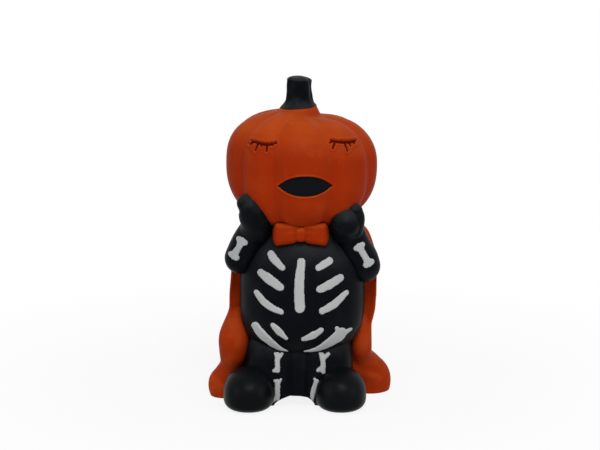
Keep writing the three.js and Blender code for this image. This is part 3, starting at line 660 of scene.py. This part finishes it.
# A piece that lies on a skin: a fine sheet whose height follows the distance to an outline, and
# which runs a little past it, closed at its back
def reliefPiece(name, skin, distanceAt, low, high, grain, heightAt, backing):
    columns = np.arange(low[0], high[0] + grain, grain)
    rows = np.arange(low[1], high[1] + grain, grain)
    gridX, gridZ = np.meshgrid(columns, rows)
    gaps = distanceAt(gridX, gridZ)
    margin = 1.6 * grain
    index = {}
    points = []
    backs = []
    for row in range(len(rows)):
        for column in range(len(columns)):
            gap = gaps[row, column]
            if gap > margin:
                continue
            place, normal = frontOf(skin, gridX[row, column], gridZ[row, column])
            if place is None:
                continue
            index[row, column] = len(points)
            points.append(place + normal * heightAt(gap))
            backs.append(place - normal * backing)
    faces = []
    for row, column in index:
        corners = [(row, column), (row, column + 1), (row + 1, column + 1), (row + 1, column)]
        if all(corner in index for corner in corners):
            faces.append([index[corner] for corner in corners])
    rims = {}
    for face in faces:
        for start, end in zip(face, face[1:] + face[:1]):
            if (end, start) in rims:
                del rims[end, start]
            else:
                rims[start, end] = True
    count = len(points)
    walls = [[end, start, start + count, end + count] for start, end in rims]
    floors = [[corner + count for corner in reversed(face)] for face in faces]
    piece = newPiece(name, points + backs, faces + walls + floors)
    loose = bmesh.new()
    loose.from_mesh(piece.data)
    strays = [vertex for vertex in loose.verts if not vertex.link_faces]
    bmesh.ops.delete(loose, geom=strays, context="VERTS")
    loose.to_mesh(piece.data)
    loose.free()
    return piece


# Waves that make an outline uneven
def wobble(x, z, size, reach):
    turn = 2 * math.pi / size
    waves = np.sin(turn * (x + 0.31 * z)) + np.sin(turn * (0.83 * z - 0.4 * x) + 1.7)
    waves = waves + np.sin(turn * 1.9 * (x - z) + 0.6)
    return reach * waves / 3


def stepOf(size, low, high, gap):
    return size * float(smoothStep(low, high, gap))


# Mouth: a flat black lens on the floor of its opening
def mouthHeight(gap):
    return -mouth["depth"] + mouth["lensRise"] - stepOf(mouth["lensDrop"], *mouth["lensEdge"], gap)


mouthPiece = reliefPiece(
    "sculpted_mouth",
    plainSkin,
    mouthDistance,
    (mouth["place"][0] - mouth["halfWidth"] - mm, mouth["place"][1] - mouth["lower"] - mm),
    (mouth["place"][0] + mouth["halfWidth"] + mm, mouth["place"][1] + mouth["upper"] + mm),
    mouth["grain"],
    mouthHeight,
    mouth["depth"] + mouth["backing"],
)
finishPiece(mouthPiece, ["mouth"], mouthPaint)


def eyeHeight(gap):
    return -eyes["lineSink"] - stepOf(eyes["lineDrop"], *eyes["lineEdge"], gap)


for side in sides:
    low, high = boxOf(f"{side}_eyelid_line")
    eyePiece = reliefPiece(
        f"sculpted_{side}_eyelid",
        headSkin,
        partial(eyeDistance, side),
        (low[0] - mm, low[2] - 1.5 * mm),
        (high[0] + mm, high[2] + mm),
        eyes["grain"],
        eyeHeight,
        eyes["backing"],
    )
    finishPiece(eyePiece, [f"{side}_eyelid_line"], linePaint)
print("face painted")

# Stalk: a ribbed column with a flared, uneven foot and a slanting cut with a soft rim
stalk = {
    "foot": 99.65 * mm,
    "top": 109.2 * mm,
    "radius": 4.2 * mm,
    "flare": 1.9 * mm,
    "flareLean": 0.25 * mm,
    "flareHeight": 1.6 * mm,
    "flareCurve": 1.3,
    "footTilt": 0.07,
    "taper": 0.25 * mm,
    "ribs": 7,
    "ribDepth": 0.2 * mm,
    "lumps": 0.1 * mm,
    "fineLumps": 0.06 * mm,
    "slant": 0.05,
    "rimShare": 0.08,
    "rimInset": 0.16,
    "dome": 0.7 * mm,
    "columns": 144,
    "rows": 60,
    "cutRows": 14,
}


def makeStalk():
    rows, cutRows = stalk["rows"], stalk["cutRows"]
    shares = np.concatenate([np.linspace(0, 1, rows), np.ones(cutRows)])
    inner = np.concatenate([np.ones(rows), np.linspace(0.97, 0.08, cutRows)])
    turn, share = np.meshgrid(turnsOf(stalk["columns"]), shares)
    scale = np.repeat(inner[:, None], stalk["columns"], axis=1)
    height = stalk["top"] - stalk["foot"]
    flare = stalk["flare"] - stalk["flareLean"] * np.cos(turn)
    flare = flare * np.exp(-((share * height / stalk["flareHeight"]) ** stalk["flareCurve"]))
    flare = flare - stalk["taper"] * share
    ribs = stalk["ribDepth"] * np.cos(stalk["ribs"] * turn + 0.5 * np.sin(2 * turn))
    ribs = ribs * smoothStep(0.05, 0.3, share)
    lumps = stalk["lumps"] * np.sin(3 * turn + 7 * share)
    lumps = lumps + stalk["fineLumps"] * np.sin(5 * turn - 11 * share)
    rim = stalk["radius"] * stalk["rimInset"] * smoothStep(1 - stalk["rimShare"], 1, share) ** 2
    radius = (stalk["radius"] + flare + ribs + lumps - rim) * scale
    dome = stalk["dome"] * (1 - scale**2)
    x = stalkAxis[0] + radius * np.cos(turn)
    y = stalkAxis[1] + radius * np.sin(turn)
    slope = stalk["slant"] * radius * np.cos(turn) * share**3
    tilt = stalk["footTilt"] * radius * np.cos(turn) * (1 - share) ** 4
    z = stalk["foot"] + share * height - slope + tilt + dome
    return ringBody("sculpted_stalk", np.stack([x, y, z], axis=-1))


finishPiece(makeStalk(), ["stalk"], blackPaint)


# A rounded body whose widest level splits it into an upper and a lower part. A base cuts it flat.
def roundedBody(name, form, columns, rows):
    lowest = -math.pi / 2
    if "base" in form:
        share = (form["centre"][2] - form["base"]) / form["drop"]
        heights = np.linspace(-math.pi / 2, 0, 400)
        lowest = float(np.interp(-share, superEllipse(heights, form["dropFullness"])[1], heights))
    climbs = np.linspace(lowest, math.pi / 2, rows + 1)[:-1]
    if "base" not in form:
        climbs = climbs[1:]
    turn, climb = np.meshgrid(turnsOf(columns), climbs)
    upper = climb > 0
    spread, level = superEllipse(climb, np.where(upper, form["riseFullness"], form["dropFullness"]))
    across, along = superEllipse(turn, form["planFullness"])
    rings = np.stack(
        [
            form["centre"][0] + across * spread * form["halfWidth"],
            form["centre"][1] + along * spread * form["halfDepth"],
            form["centre"][2] + level * np.where(upper, form["rise"], form["drop"]),
        ],
        axis=-1,
    )
    return ringBody(name, rings)


# A tube through a few places, each with its own radius, with round ends
def tubeBody(name, places, columns=40, steps=40):
    line = smoothLine(places, steps)
    centres, radii = line[:, :3], line[:, 3]
    tangents = np.gradient(centres, axis=0)
    tangents /= np.linalg.norm(tangents, axis=1)[:, None]
    side = np.cross(tangents, [0, 1, 0])
    side /= np.linalg.norm(side, axis=1)[:, None]
    front = np.cross(tangents, side)
    turns = turnsOf(columns)
    rings = []
    caps = np.linspace(0.12, 1, 7)[:-1] * math.pi / 2

    def addRing(centre, radius, index):
        around = np.cos(turns)[:, None] * side[index] + np.sin(turns)[:, None] * front[index]
        rings.append(centre + radius * around)

    def addCap(outward, index, climbs):
        for climb in climbs:
            reach = outward * tangents[index] * radii[index] * math.cos(climb)
            addRing(centres[index] + reach, radii[index] * math.sin(climb), index)

    addCap(-1, 0, caps)
    for index in range(steps):
        addRing(centres[index], radii[index], index)
    addCap(1, -1, caps[::-1])
    return ringBody(name, np.array(rings))


# Torso: a barrel that is fullest low down
torsoLow, torsoHigh = boxOf("torso")
torso = {
    "centre": placed([0.93, -2.54, 37]),
    "halfWidth": (torsoHigh - torsoLow)[0] / 2,
    "halfDepth": (torsoHigh - torsoLow)[1] / 2,
    "rise": 25 * mm,
    "drop": 20 * mm,
    "riseFullness": 2.7,
    "dropFullness": 3.2,
    "planFullness": 2.2,
}
torsoPiece = roundedBody("sculpted_torso", torso, columns=200, rows=110)
torsoSkin = skinOf(torsoPiece)
finishPiece(torsoPiece, ["torso"], blackPaint)
print("torso sculpted")

# Bones: painted relief with soft, slightly uneven edges
bones = {
    "rise": 0.36 * mm,
    "edge": 0.02 * mm,
    "softness": 0.34 * mm,
    "skirt": 0.6 * mm,
    "skirtReach": 0.3 * mm,
    "backing": 0.7 * mm,
    "grain": 0.2 * mm,
    "wobble": 0.11 * mm,
    "wobbleSize": 2.6 * mm,
}


def boneHeight(gap):
    raised = stepOf(bones["rise"], bones["edge"], -bones["softness"], gap)
    return raised - stepOf(bones["skirt"], bones["edge"], bones["skirtReach"], gap)


def makeBone(name, skin, strokes):
    def distanceAt(x, z):
        gap = strokesDistance(x, z, strokes)
        return gap + wobble(x, z, bones["wobbleSize"], bones["wobble"])

    spots = np.array([place for places, _ in strokes for place in places])
    grain = bones["grain"]
    widest = max(max(halves) for _, halves in strokes) + 2 * grain
    low, high = spots.min(axis=0) - widest, spots.max(axis=0) + widest
    piece = reliefPiece(
        f"painted_{name}", skin, distanceAt, low, high, grain, boneHeight, bones["backing"]
    )
    return finishPiece(piece, [name], whitePaint)


def drawn(strokes):
    return [(placedInFront(places), [half * mm for half in halves]) for places, halves in strokes]


# Bones of the chest and hips: [x, z] places and the half widths along the stroke, in millimetres
torsoBones = {
    "breastbone": [([[0.6, 50.7], [-0.1, 43.5], [0.1, 35.5]], [1.3, 1.5, 1.65, 1.65])],
    "left_top_rib": [([[-9.4, 52.8], [-8.3, 51.3], [-5.7, 48.8]], [1.15, 1.45, 1.3, 1.0])],
    "left_middle_rib": [([[-12.7, 46.5], [-9.9, 44.7], [-6.4, 42.4]], [1.25, 1.65, 1.65, 1.3])],
    "left_bottom_rib": [
        ([[-14.1, 39.7], [-12, 37.2], [-9.2, 35.3], [-6.1, 34.1]], [1.0, 1.3, 1.2, 0.95]),
    ],
    "right_top_rib": [([[6.3, 48.9], [9.8, 50.8]], [1.1, 1.25, 1.2])],
    "right_middle_rib": [([[6.8, 41.8], [9.8, 43.1], [13.2, 44.9]], [1.3, 1.55, 1.35])],
    "right_bottom_rib": [
        ([[7.4, 34.4], [10.9, 36.1], [13.3, 38], [15.3, 39.7]], [1.1, 1.35, 1.2, 0.95]),
    ],
    "left_hip_bone": [
        (
            [[-14.5, 28.0], [-12.9, 25.8], [-10, 23.2], [-7.1, 20.9], [-4, 19.5]],
            [1.5, 1.75, 1.55, 1.05, 0.25],
        ),
    ],
    "left_inner_hip_bone": [([[-8.7, 29.3], [-6.7, 27.1], [-4.4, 24.9]], [0.9, 1.3, 0.65])],
    "right_hip_bone": [
        (
            [[1.6, 19.6], [5.5, 20.4], [9.2, 22.4], [12.8, 24.9], [13.6, 26]],
            [0.25, 0.95, 1.6, 2.15, 2.0],
        ),
        ([[13.3, 26], [12.4, 28]], [1.3, 0.7]),
        ([[13.3, 25.4], [17, 26.7]], [1.4, 0.6]),
    ],
    "right_inner_hip_bone": [([[1.3, 24.7], [4.4, 26], [7.2, 27.9]], [0.8, 1.35, 0.85])],
}
for name, strokes in torsoBones.items():
    makeBone(name, torsoSkin, drawn(strokes))
print("chest and hips painted")

# A long bone: a shaft and two knuckles at each end. The shares are of the shaft's and the
# knuckle's half widths.
longBone = {
    "size": 1.15,
    "shaft": 0.85 * mm,
    "shaftEnd": 1.25,
    "knuckle": 1.0 * mm,
    "knuckleRoot": 0.9,
    "knuckleTip": 0.92,
    "spread": 0.85 * mm,
}


def longBoneStrokes(start, end):
    along = (end - start) / np.linalg.norm(end - start)
    aside = np.array([-along[1], along[0]])
    sizes = (longBone["size"] * longBone[key] for key in ("shaft", "knuckle", "spread"))
    shaft, knuckle, spread = sizes
    shaftEnd = shaft * longBone["shaftEnd"]
    strokes = [([start, end], [shaftEnd, shaft, shaftEnd])]
    for tip, outward in ((start, -1), (end, 1)):
        for sideways in (-1, 1):
            root = tip - along * outward * knuckle * longBone["knuckleRoot"]
            knob = tip + aside * sideways * spread
            strokes.append(([root, knob], [shaft, knuckle * longBone["knuckleTip"]]))
    return strokes


# Legs: two columns that run together in the middle and at the back, over a low arch
legs = {
    "level": 6 * mm,
    "spacing": 9 * mm,
    "form": {
        "halfWidth": 9.3 * mm, "halfDepth": 13 * mm, "rise": 18 * mm, "drop": 8 * mm,
        "riseFullness": 4, "dropFullness": 3, "planFullness": 2.7, "base": 0,
    },
    "back": {"halfWidth": 12 * mm, "planFullness": 5},
    "backPlace": 0.45,  # in halfDepth
    "backDepth": 0.54,  # in halfDepth
    "middle": {"halfWidth": 5 * mm, "halfDepth": 12.2 * mm, "planFullness": 3},
    "archPlace": -0.85 * mm,
    "archLeft": 7.7 * mm,
    "archRight": 5.9 * mm,
    "archHeight": 3.9 * mm,
}
legsMiddle = middleOf("legs")


def legBody(name, aside, behind, changes):
    centre = legsMiddle * [1, 1, 0] + [aside, behind, legs["level"]]
    return roundedBody(name, {**legs["form"], **changes, "centre": centre}, columns=90, rows=60)


legDepth = legs["form"]["halfDepth"]
legs["back"]["halfDepth"] = legDepth * legs["backDepth"]
legBodies = [
    legBody("legLeft", -legs["spacing"], 0, {}),
    legBody("legRight", legs["spacing"], 0, {}),
    legBody("legBack", 0, legDepth * legs["backPlace"], legs["back"]),
    legBody("legMiddle", 0, 0, legs["middle"]),
]
legPiece = fuse("sculpted_legs", legBodies, grain=0.4 * mm, smoothing=8)
points = pointsOf(legPiece)
aside = points[:, 0] - shift[0] - legs["archPlace"]
across = np.clip(np.maximum(-aside / legs["archLeft"], aside / legs["archRight"]), 0, 1)
arch = legs["archHeight"] * np.sqrt(1 - across**2)
points[:, 2] = np.maximum(points[:, 2], arch)
setPoints(legPiece, points)
legSkin = skinOf(legPiece)
finishPiece(legPiece, ["legs"], blackPaint)

# Feet: round toes, cut flat at the floor
feet = {
    "places": {"left": -16.95 * mm, "right": 13.8 * mm},
    "levelShare": 0.338,
    "dropShare": 1.1,
    "form": {
        "halfWidth": 8.5 * mm, "halfDepth": 10.3 * mm,
        "riseFullness": 2.2, "dropFullness": 3.0, "planFullness": 2.2, "base": 0,
    },
}
for side in sides:
    low, high = boxOf(f"{side}_foot")
    level = between(low[2], high[2], feet["levelShare"])
    centre = np.array([feet["places"][side] + shift[0], (low + high)[1] / 2, level])
    drop = (level - low[2]) * feet["dropShare"]
    form = {**feet["form"], "centre": centre, "rise": high[2] - level, "drop": drop}
    footPiece = roundedBody(f"sculpted_{side}_foot", form, columns=120, rows=70)
    finishPiece(footPiece, [f"{side}_foot"], footPaint)

# Bones of the legs: places and half widths as on the chest, a shaft first and then the prongs of
# its ends
legBones = {
    "left_thigh_bone": [
        ([[-7.3, 18.2], [-7.35, 15.6], [-7.4, 13.0]], [0.9, 0.85, 0.92]),
        ([[-7.4, 17.4], [-7.9, 18.5]], [0.6, 0.56]),
        ([[-7.15, 17.0], [-5.8, 18.55]], [0.7, 0.5]),
        ([[-7.6, 13.6], [-8.4, 12.9]], [0.7, 0.64]),
    ],
    "left_shin_bone": [
        ([[-7.35, 9.1], [-7.4, 6.2], [-7.5, 3.2]], [0.9, 0.92, 0.9]),
        ([[-7.65, 9.0], [-8.15, 9.4]], [0.6, 0.55]),
        ([[-7.0, 8.6], [-6.25, 9.8]], [0.6, 0.42]),
        ([[-7.65, 3.6], [-8.9, 2.3]], [0.8, 0.62]),
    ],
    "right_thigh_bone": [
        ([[7.5, 18.1], [7.8, 15.7], [7.7, 12.9]], [0.92, 0.86, 0.9]),
        ([[7.5, 17.0], [6.9, 18.55]], [0.7, 0.56]),
        ([[7.7, 17.0], [9.6, 18.5]], [1.0, 0.56]),
        ([[7.4, 13.8], [6.2, 12.95]], [0.9, 0.64]),
        ([[7.75, 13.3], [7.95, 12.4]], [0.75, 0.66]),
    ],
    "right_shin_bone": [
        ([[5.75, 9.1], [5.0, 7.0], [4.3, 4.2], [4.4, 2.5]], [0.86, 0.92, 0.78, 0.45]),
        ([[5.5, 8.6], [5.1, 10.0]], [0.6, 0.42]),
        ([[5.95, 8.4], [6.85, 8.95]], [0.7, 0.55]),
    ],
}
for name, strokes in legBones.items():
    makeBone(name, legSkin, drawn(strokes))
print("legs and feet sculpted")

# Arms: sleeves with the elbow hanging out and down, and mittens laid on the cheeks. Places are in
# millimetres, and the last number is the radius. The bones' ends are [x, z].
arms = {
    "left": {
        "upper": [[-15.5, -1, 57, 5], [-18, -4.5, 53, 5.3], [-19.6, -7.2, 49.6, 5.4]],
        "fore": [[-19.6, -7.2, 49.6, 5.4], [-17.3, -9.3, 55.2, 5.3], [-14.7, -11.3, 60.5, 4.8]],
        "palm": [
            [-14.4, -12.2, 60.5, 5.2], [-14.2, -14.6, 63.1, 4.9], [-15.2, -16.6, 66.1, 4.8],
            [-16.3, -17.3, 68.6, 4.0], [-17.4, -17.1, 70, 3.1],
        ],
    },
    "right": {
        "upper": [[15.5, -1, 56, 5], [18.8, -4.5, 51.1, 5.4], [21.4, -7.2, 47, 5.6]],
        "fore": [
            [21.4, -7.2, 47, 5.6], [20.4, -8, 50, 5.6],
            [18.1, -9.3, 54.2, 5.5], [15.6, -11, 61, 5.1],
        ],
        "palm": [[15.4, -11.8, 60, 5.2], [15.2, -14.5, 61.9, 5.2], [15, -16.9, 63.4, 4.95]],
        "fingers": [[17.3, -14.8, 61, 3.7], [18.3, -16.4, 64.8, 3.1], [18.2, -16.8, 67.5, 2.45]],
    },
}
armBones = {"left": [[-18.9, 56.9], [-21.7, 51.3]], "right": [[19.6, 55.0], [22.9, 48.9]]}
for side, tubes in arms.items():
    bodies = [tubeBody(f"{side}_{name}", placed(places)) for name, places in tubes.items()]
    armPiece = fuse(f"sculpted_{side}_arm", bodies, grain=0.35 * mm, smoothing=6)
    armSkin = skinOf(armPiece)
    finishPiece(armPiece, [f"{side}_arm", f"{side}_hand"], blackPaint)
    makeBone(f"{side}_arm_bone", armSkin, longBoneStrokes(*placedInFront(armBones[side])))
print("arms sculpted")

# Bow tie: two pillowed wings with shallow pleats, gathered at a knot under the chin
bow = {
    "level": 59.9 * mm,
    "halfSpan": 9.2 * mm,
    "rootHeight": 3.0 * mm,
    "tipHeight": 3.9 * mm,
    "thickness": 2.3 * mm,
    "edgeShare": 0.72,  # the thickness at the knot and the tip, in thickness
    "fullness": 2.6,
    "waist": 0.75,
    "waistSpan": 0.3,
    "tipStart": 0.82,
    "tipSpan": 0.18,
    "tipCurve": 2.2,
    "pleats": 3,
    "pleatDepth": 0.1 * mm,
    "sag": 0.5 * mm,
    "knotPlace": (0, 1.7 * mm, -0.3 * mm),
    "knot": {
        "halfWidth": 1.9 * mm, "halfDepth": 1.8 * mm, "rise": 2.5 * mm, "drop": 2.4 * mm,
        "riseFullness": 2.6, "dropFullness": 2.6, "planFullness": 2.4,
    },
}
bowMiddle = middleOf("bow_knot")
bowFront = boxOf("bow_left_wing", "bow_right_wing")[0][1]


def makeWing(side, direction):
    turn, span = np.meshgrid(turnsOf(96) * direction, np.linspace(0, 1, 48))
    tip = np.clip((span - bow["tipStart"]) / bow["tipSpan"], 0, 1)
    rounding = np.maximum((1 - tip ** bow["tipCurve"]) ** 0.5, 0.05)
    rounding = rounding * between(bow["waist"], 1, smoothStep(0, bow["waistSpan"], span))
    across, up = superEllipse(turn, bow["fullness"])
    half = between(bow["rootHeight"], bow["tipHeight"], span**0.8)
    pleat = bow["pleatDepth"] * np.cos(bow["pleats"] * math.pi * up) * (1 - span) ** 0.7
    pleat = pleat * (across > 0)
    pillow = bow["edgeShare"] + (1 - bow["edgeShare"]) * np.sin(math.pi * np.clip(span, 0, 1))
    x = bowMiddle[0] + direction * bow["halfSpan"] * span
    y = bowFront + bow["thickness"] - (bow["thickness"] * pillow + pleat) * across * rounding
    z = bow["level"] + half * up * np.maximum(rounding, 0.45) - bow["sag"] * span**2
    return ringBody(f"sculpted_bow_{side}", np.stack([x, y, z], axis=-1))


for side, direction in (("left", -1), ("right", 1)):
    finishPiece(makeWing(side, direction), [f"bow_{side}_wing"], orangePaint)
knotCentre = np.array([bowMiddle[0], bowFront, bow["level"]]) + bow["knotPlace"]
knotForm = {**bow["knot"], "centre": knotCentre}
knotPiece = roundedBody("sculpted_bow_knot", knotForm, columns=72, rows=48)
finishPiece(knotPiece, ["bow_knot"], orangePaint)
print("bow tie sculpted")

# Cape: a heavy drape that closes round the back, with a thick rolled edge down each side.
# Each pair is a share of the height and a share of the largest reach that way.
cape = {
    "place": (0, -2.5, 0),
    "halfWidth": 31 * mm,
    "backDepth": 26.5 * mm,
    "frontDepth": 2 * mm,
    "height": 63.2 * mm,
    "planFullness": 2.4,
    "folds": 5,
    "foldDepth": 1.7 * mm,
    "foldDrift": 1.0,
    "foldFade": 0.85,
    "creaseShare": 0.2,
    "rightSweep": 11.5 * mm,
    "sweepCurve": 14,
    "sweepLevels": (0.3, 0.05),
    "footing": 2 * mm,
    "leftShares": [
        [0, 0.85], [0.024, 0.94], [0.063, 0.985], [0.1, 0.94], [0.142, 0.86], [0.19, 0.84],
        [0.25, 0.86], [0.35, 0.86], [0.4, 0.83], [0.44, 0.79], [0.49, 0.77], [0.57, 0.765],
        [0.66, 0.75], [0.74, 0.735], [0.8, 0.73], [0.866, 0.7], [0.913, 0.655], [0.945, 0.6],
        [0.976, 0.5], [1, 0.36],
    ],
    "rightShares": [
        [0, 0.92], [0.024, 1.0], [0.063, 1.02], [0.1, 0.985], [0.142, 0.87], [0.19, 0.785],
        [0.25, 0.76], [0.35, 0.775], [0.4, 0.79], [0.44, 0.81], [0.49, 0.83], [0.57, 0.84],
        [0.66, 0.84], [0.74, 0.84], [0.8, 0.825], [0.866, 0.785], [0.913, 0.745], [0.945, 0.68],
        [0.976, 0.56], [1, 0.38],
    ],
    "backShares": [
        [0, 0.93], [0.024, 0.98], [0.063, 1], [0.1, 0.99], [0.19, 0.93], [0.35, 0.865],
        [0.57, 0.82], [0.74, 0.79], [0.8, 0.76], [0.866, 0.7], [0.913, 0.62], [0.945, 0.54],
        [0.976, 0.43], [1, 0.32],
    ],
    "frontShares": [
        [0, -2.2], [0.063, -2], [0.15, -1], [0.3, -0.8], [0.5, -1.4], [0.75, -0.8],
        [0.9, 1.2], [1, 0.8],
    ],
    "leftRoll": [
        [-24.9, -0.1, -2.5, 4.4], [-26.2, 0.2, 3.8, 5.1], [-25, -0.4, 7.6, 4.1],
        [-23.4, -2.1, 11.4, 3.7], [-22.4, -4.5, 16.5, 4.8], [-22, -4.2, 22, 5.2],
        [-20.8, 1.4, 28.5, 3.6], [-20.1, 5, 34.5, 3.1], [-18.5, 7, 44, 2.6],
    ],
    "rightRoll": [
        [24.1, 6.9, -2, 6.3], [25.5, 7.6, 4, 6.1], [23.4, 5.4, 8.8, 5.1], [21.1, 1.8, 13.5, 4.0],
        [20.8, -1.3, 18.5, 3.8], [21.1, 0.8, 25, 3.5], [21.7, 5.4, 34, 3.3], [20.8, 8, 46, 2.6],
    ],
}


def alongShares(pairs, shares):
    line = smoothLine(pairs, 400)
    return np.interp(shares, line[:, 0], line[:, 1])


# The drape starts below the floor, where it is cut flat afterwards
def makeCape():
    capePlace = placed(cape["place"])
    levels = np.linspace(-cape["footing"] / cape["height"], 1, 114)
    turn, level = np.meshgrid(turnsOf(300), levels)
    share = np.maximum(level, 0)
    left, right = (alongShares(cape[key], share) for key in ("leftShares", "rightShares"))
    width = cape["halfWidth"] * between(left, right, smoothStep(-0.25, 0.25, np.cos(turn)))
    back = turn < math.pi
    fade = np.clip(1 - share / cape["foldFade"], 0, 1) ** 0.8 * np.abs(np.sin(turn)) ** 1.5
    drift = cape["foldDrift"] * np.sin(2 * turn + 4 * share)
    folds = np.cos(2 * cape["folds"] * turn + drift)
    folds = folds - cape["creaseShare"] * np.cos(4 * cape["folds"] * turn + 2 * drift)
    fold = np.where(back, cape["foldDepth"] * fade * folds, 0)
    depth = np.where(
        back,
        cape["backDepth"] * alongShares(cape["backShares"], share) + fold,
        cape["frontDepth"] * alongShares(cape["frontShares"], share),
    )
    across, along = superEllipse(turn, cape["planFullness"])
    sweep = cape["rightSweep"] * np.clip(across, 0, 1) ** cape["sweepCurve"]
    sweep = sweep * smoothStep(*cape["sweepLevels"], share)
    x = capePlace[0] + across * (width + fold)
    y = capePlace[1] + along * depth + sweep
    z = cape["height"] * level
    bodies = [ringBody("drape", np.stack([x, y, z], axis=-1))]
    for roll in ("leftRoll", "rightRoll"):
        bodies.append(tubeBody(roll, placed(cape[roll]), columns=48, steps=60))
    return fuse("sculpted_cape", bodies, grain=0.5 * mm, smoothing=12)


capePiece = makeCape()
points = pointsOf(capePiece)
points[:, 2] = np.maximum(points[:, 2], 0)
setPoints(capePiece, points)
finishPiece(capePiece, ["cape"], capePaint)
print("cape draped")

# Stage: a pale floor that whitens away from the figure, soft studio light and the camera
stage = {
    "floorSize": 3.0,
    "floorColour": (0.86, 0.86, 0.86, 1),
    "floorGlow": 0.86,
    "shadeReach": 0.06,
    "ambient": 0.42,
    "keyPower": 2.0,
    "keyPlace": (0.05, -0.44, 0.5),
    "keySize": 0.24,
    "fillPower": 0.6,
    "fillPlaces": ((-0.5, -0.3, 0.22), (0.5, -0.3, 0.22)),
    "fillSize": 0.4,
    "target": tuple(placed([0.16, -2.54, 55])),
    "distance": 0.6,
    "elevation": 12,
    "focalShare": 1791 / 600,
    "rise": 14 / 600,
}


def seenShare(tree):
    path = tree.nodes.new("ShaderNodeLightPath").outputs
    share = path["Is Camera Ray"]
    for other in ("Is Glossy Ray", "Is Transmission Ray"):
        share = maths(tree, "MAXIMUM", share, path[other])
    return share


def makeFloor():
    turns = turnsOf(96)
    rim = stage["floorSize"] * np.stack([np.cos(turns), np.sin(turns), 0 * turns], axis=-1)
    floor = newPiece("floor", rim, [range(len(rim))])
    material = bpy.data.materials.new("paleFloor")
    material.use_nodes = True
    tree = material.node_tree
    shader = tree.nodes["Principled BSDF"]
    shader.inputs["Base Color"].default_value = stage["floorColour"]
    shader.inputs["Roughness"].default_value = 0.9
    shader.inputs["Specular IOR Level"].default_value = 0.1
    glow = addNode(tree, "ShaderNodeEmission", values={"Color": (1, 1, 1, 1), "Strength": 1})
    place = tree.nodes.new("ShaderNodeTexCoord").outputs["Object"]
    away = addNode(tree, "ShaderNodeVectorMath", {0: place}, operation="LENGTH").outputs["Value"]
    reach = stage["shadeReach"]
    values = {"From Min": reach, "From Max": 3 * reach, "To Min": stage["floorGlow"]}
    glowing = addNode(tree, "ShaderNodeMapRange", {"Value": away}, values=values)
    share = maths(tree, "MULTIPLY", seenShare(tree), glowing.outputs["Result"])
    links = {0: share, 1: shader.outputs[0], 2: glow.outputs[0]}
    mix = addNode(tree, "ShaderNodeMixShader", links)
    tree.links.new(mix.outputs[0], tree.nodes["Material Output"].inputs["Surface"])
    floor.data.materials.append(material)


def makeWorld():
    world = bpy.data.worlds.new("studio")
    bpy.context.scene.world = world
    world.use_nodes = True
    tree = world.node_tree
    background = tree.nodes["Background"]
    background.inputs["Color"].default_value = (1, 1, 1, 1)
    values = {"From Min": 0.0, "From Max": 1.0, "To Min": stage["ambient"], "To Max": 1.0}
    strength = addNode(tree, "ShaderNodeMapRange", {"Value": seenShare(tree)}, values=values)
    tree.links.new(strength.outputs["Result"], background.inputs["Strength"])


def addLamp(name, place, power, size):
    data = bpy.data.lights.new(name, "AREA")
    data.energy = power
    data.shape = "DISK"
    data.size = size
    lamp = linkPiece(name, data)
    lamp.location = place
    lamp.rotation_mode = "QUATERNION"
    aim = Vector(stage["target"]) - Vector(place)
    lamp.rotation_quaternion = aim.to_track_quat("-Z", "Y")


def makeCamera():
    data = bpy.data.cameras.new("camera")
    camera = linkPiece("camera", data)
    bpy.context.scene.camera = camera
    tilt = math.radians(stage["elevation"])
    back = Vector((0, -math.cos(tilt), math.sin(tilt)))
    camera.location = Vector(stage["target"]) + back * stage["distance"]
    camera.rotation_mode = "QUATERNION"
    camera.rotation_quaternion = (-back).to_track_quat("-Z", "Y")
    data.sensor_width = 36
    data.lens = data.sensor_width * stage["focalShare"]
    data.shift_y = stage["rise"]


makeFloor()
makeWorld()
addLamp("key", stage["keyPlace"], stage["keyPower"], stage["keySize"])
for number, place in enumerate(stage["fillPlaces"], 1):
    addLamp(f"fill{number}", place, stage["fillPower"], stage["fillSize"])
makeCamera()
bpy.context.scene.view_settings.view_transform = "Standard"
print("stage lit")
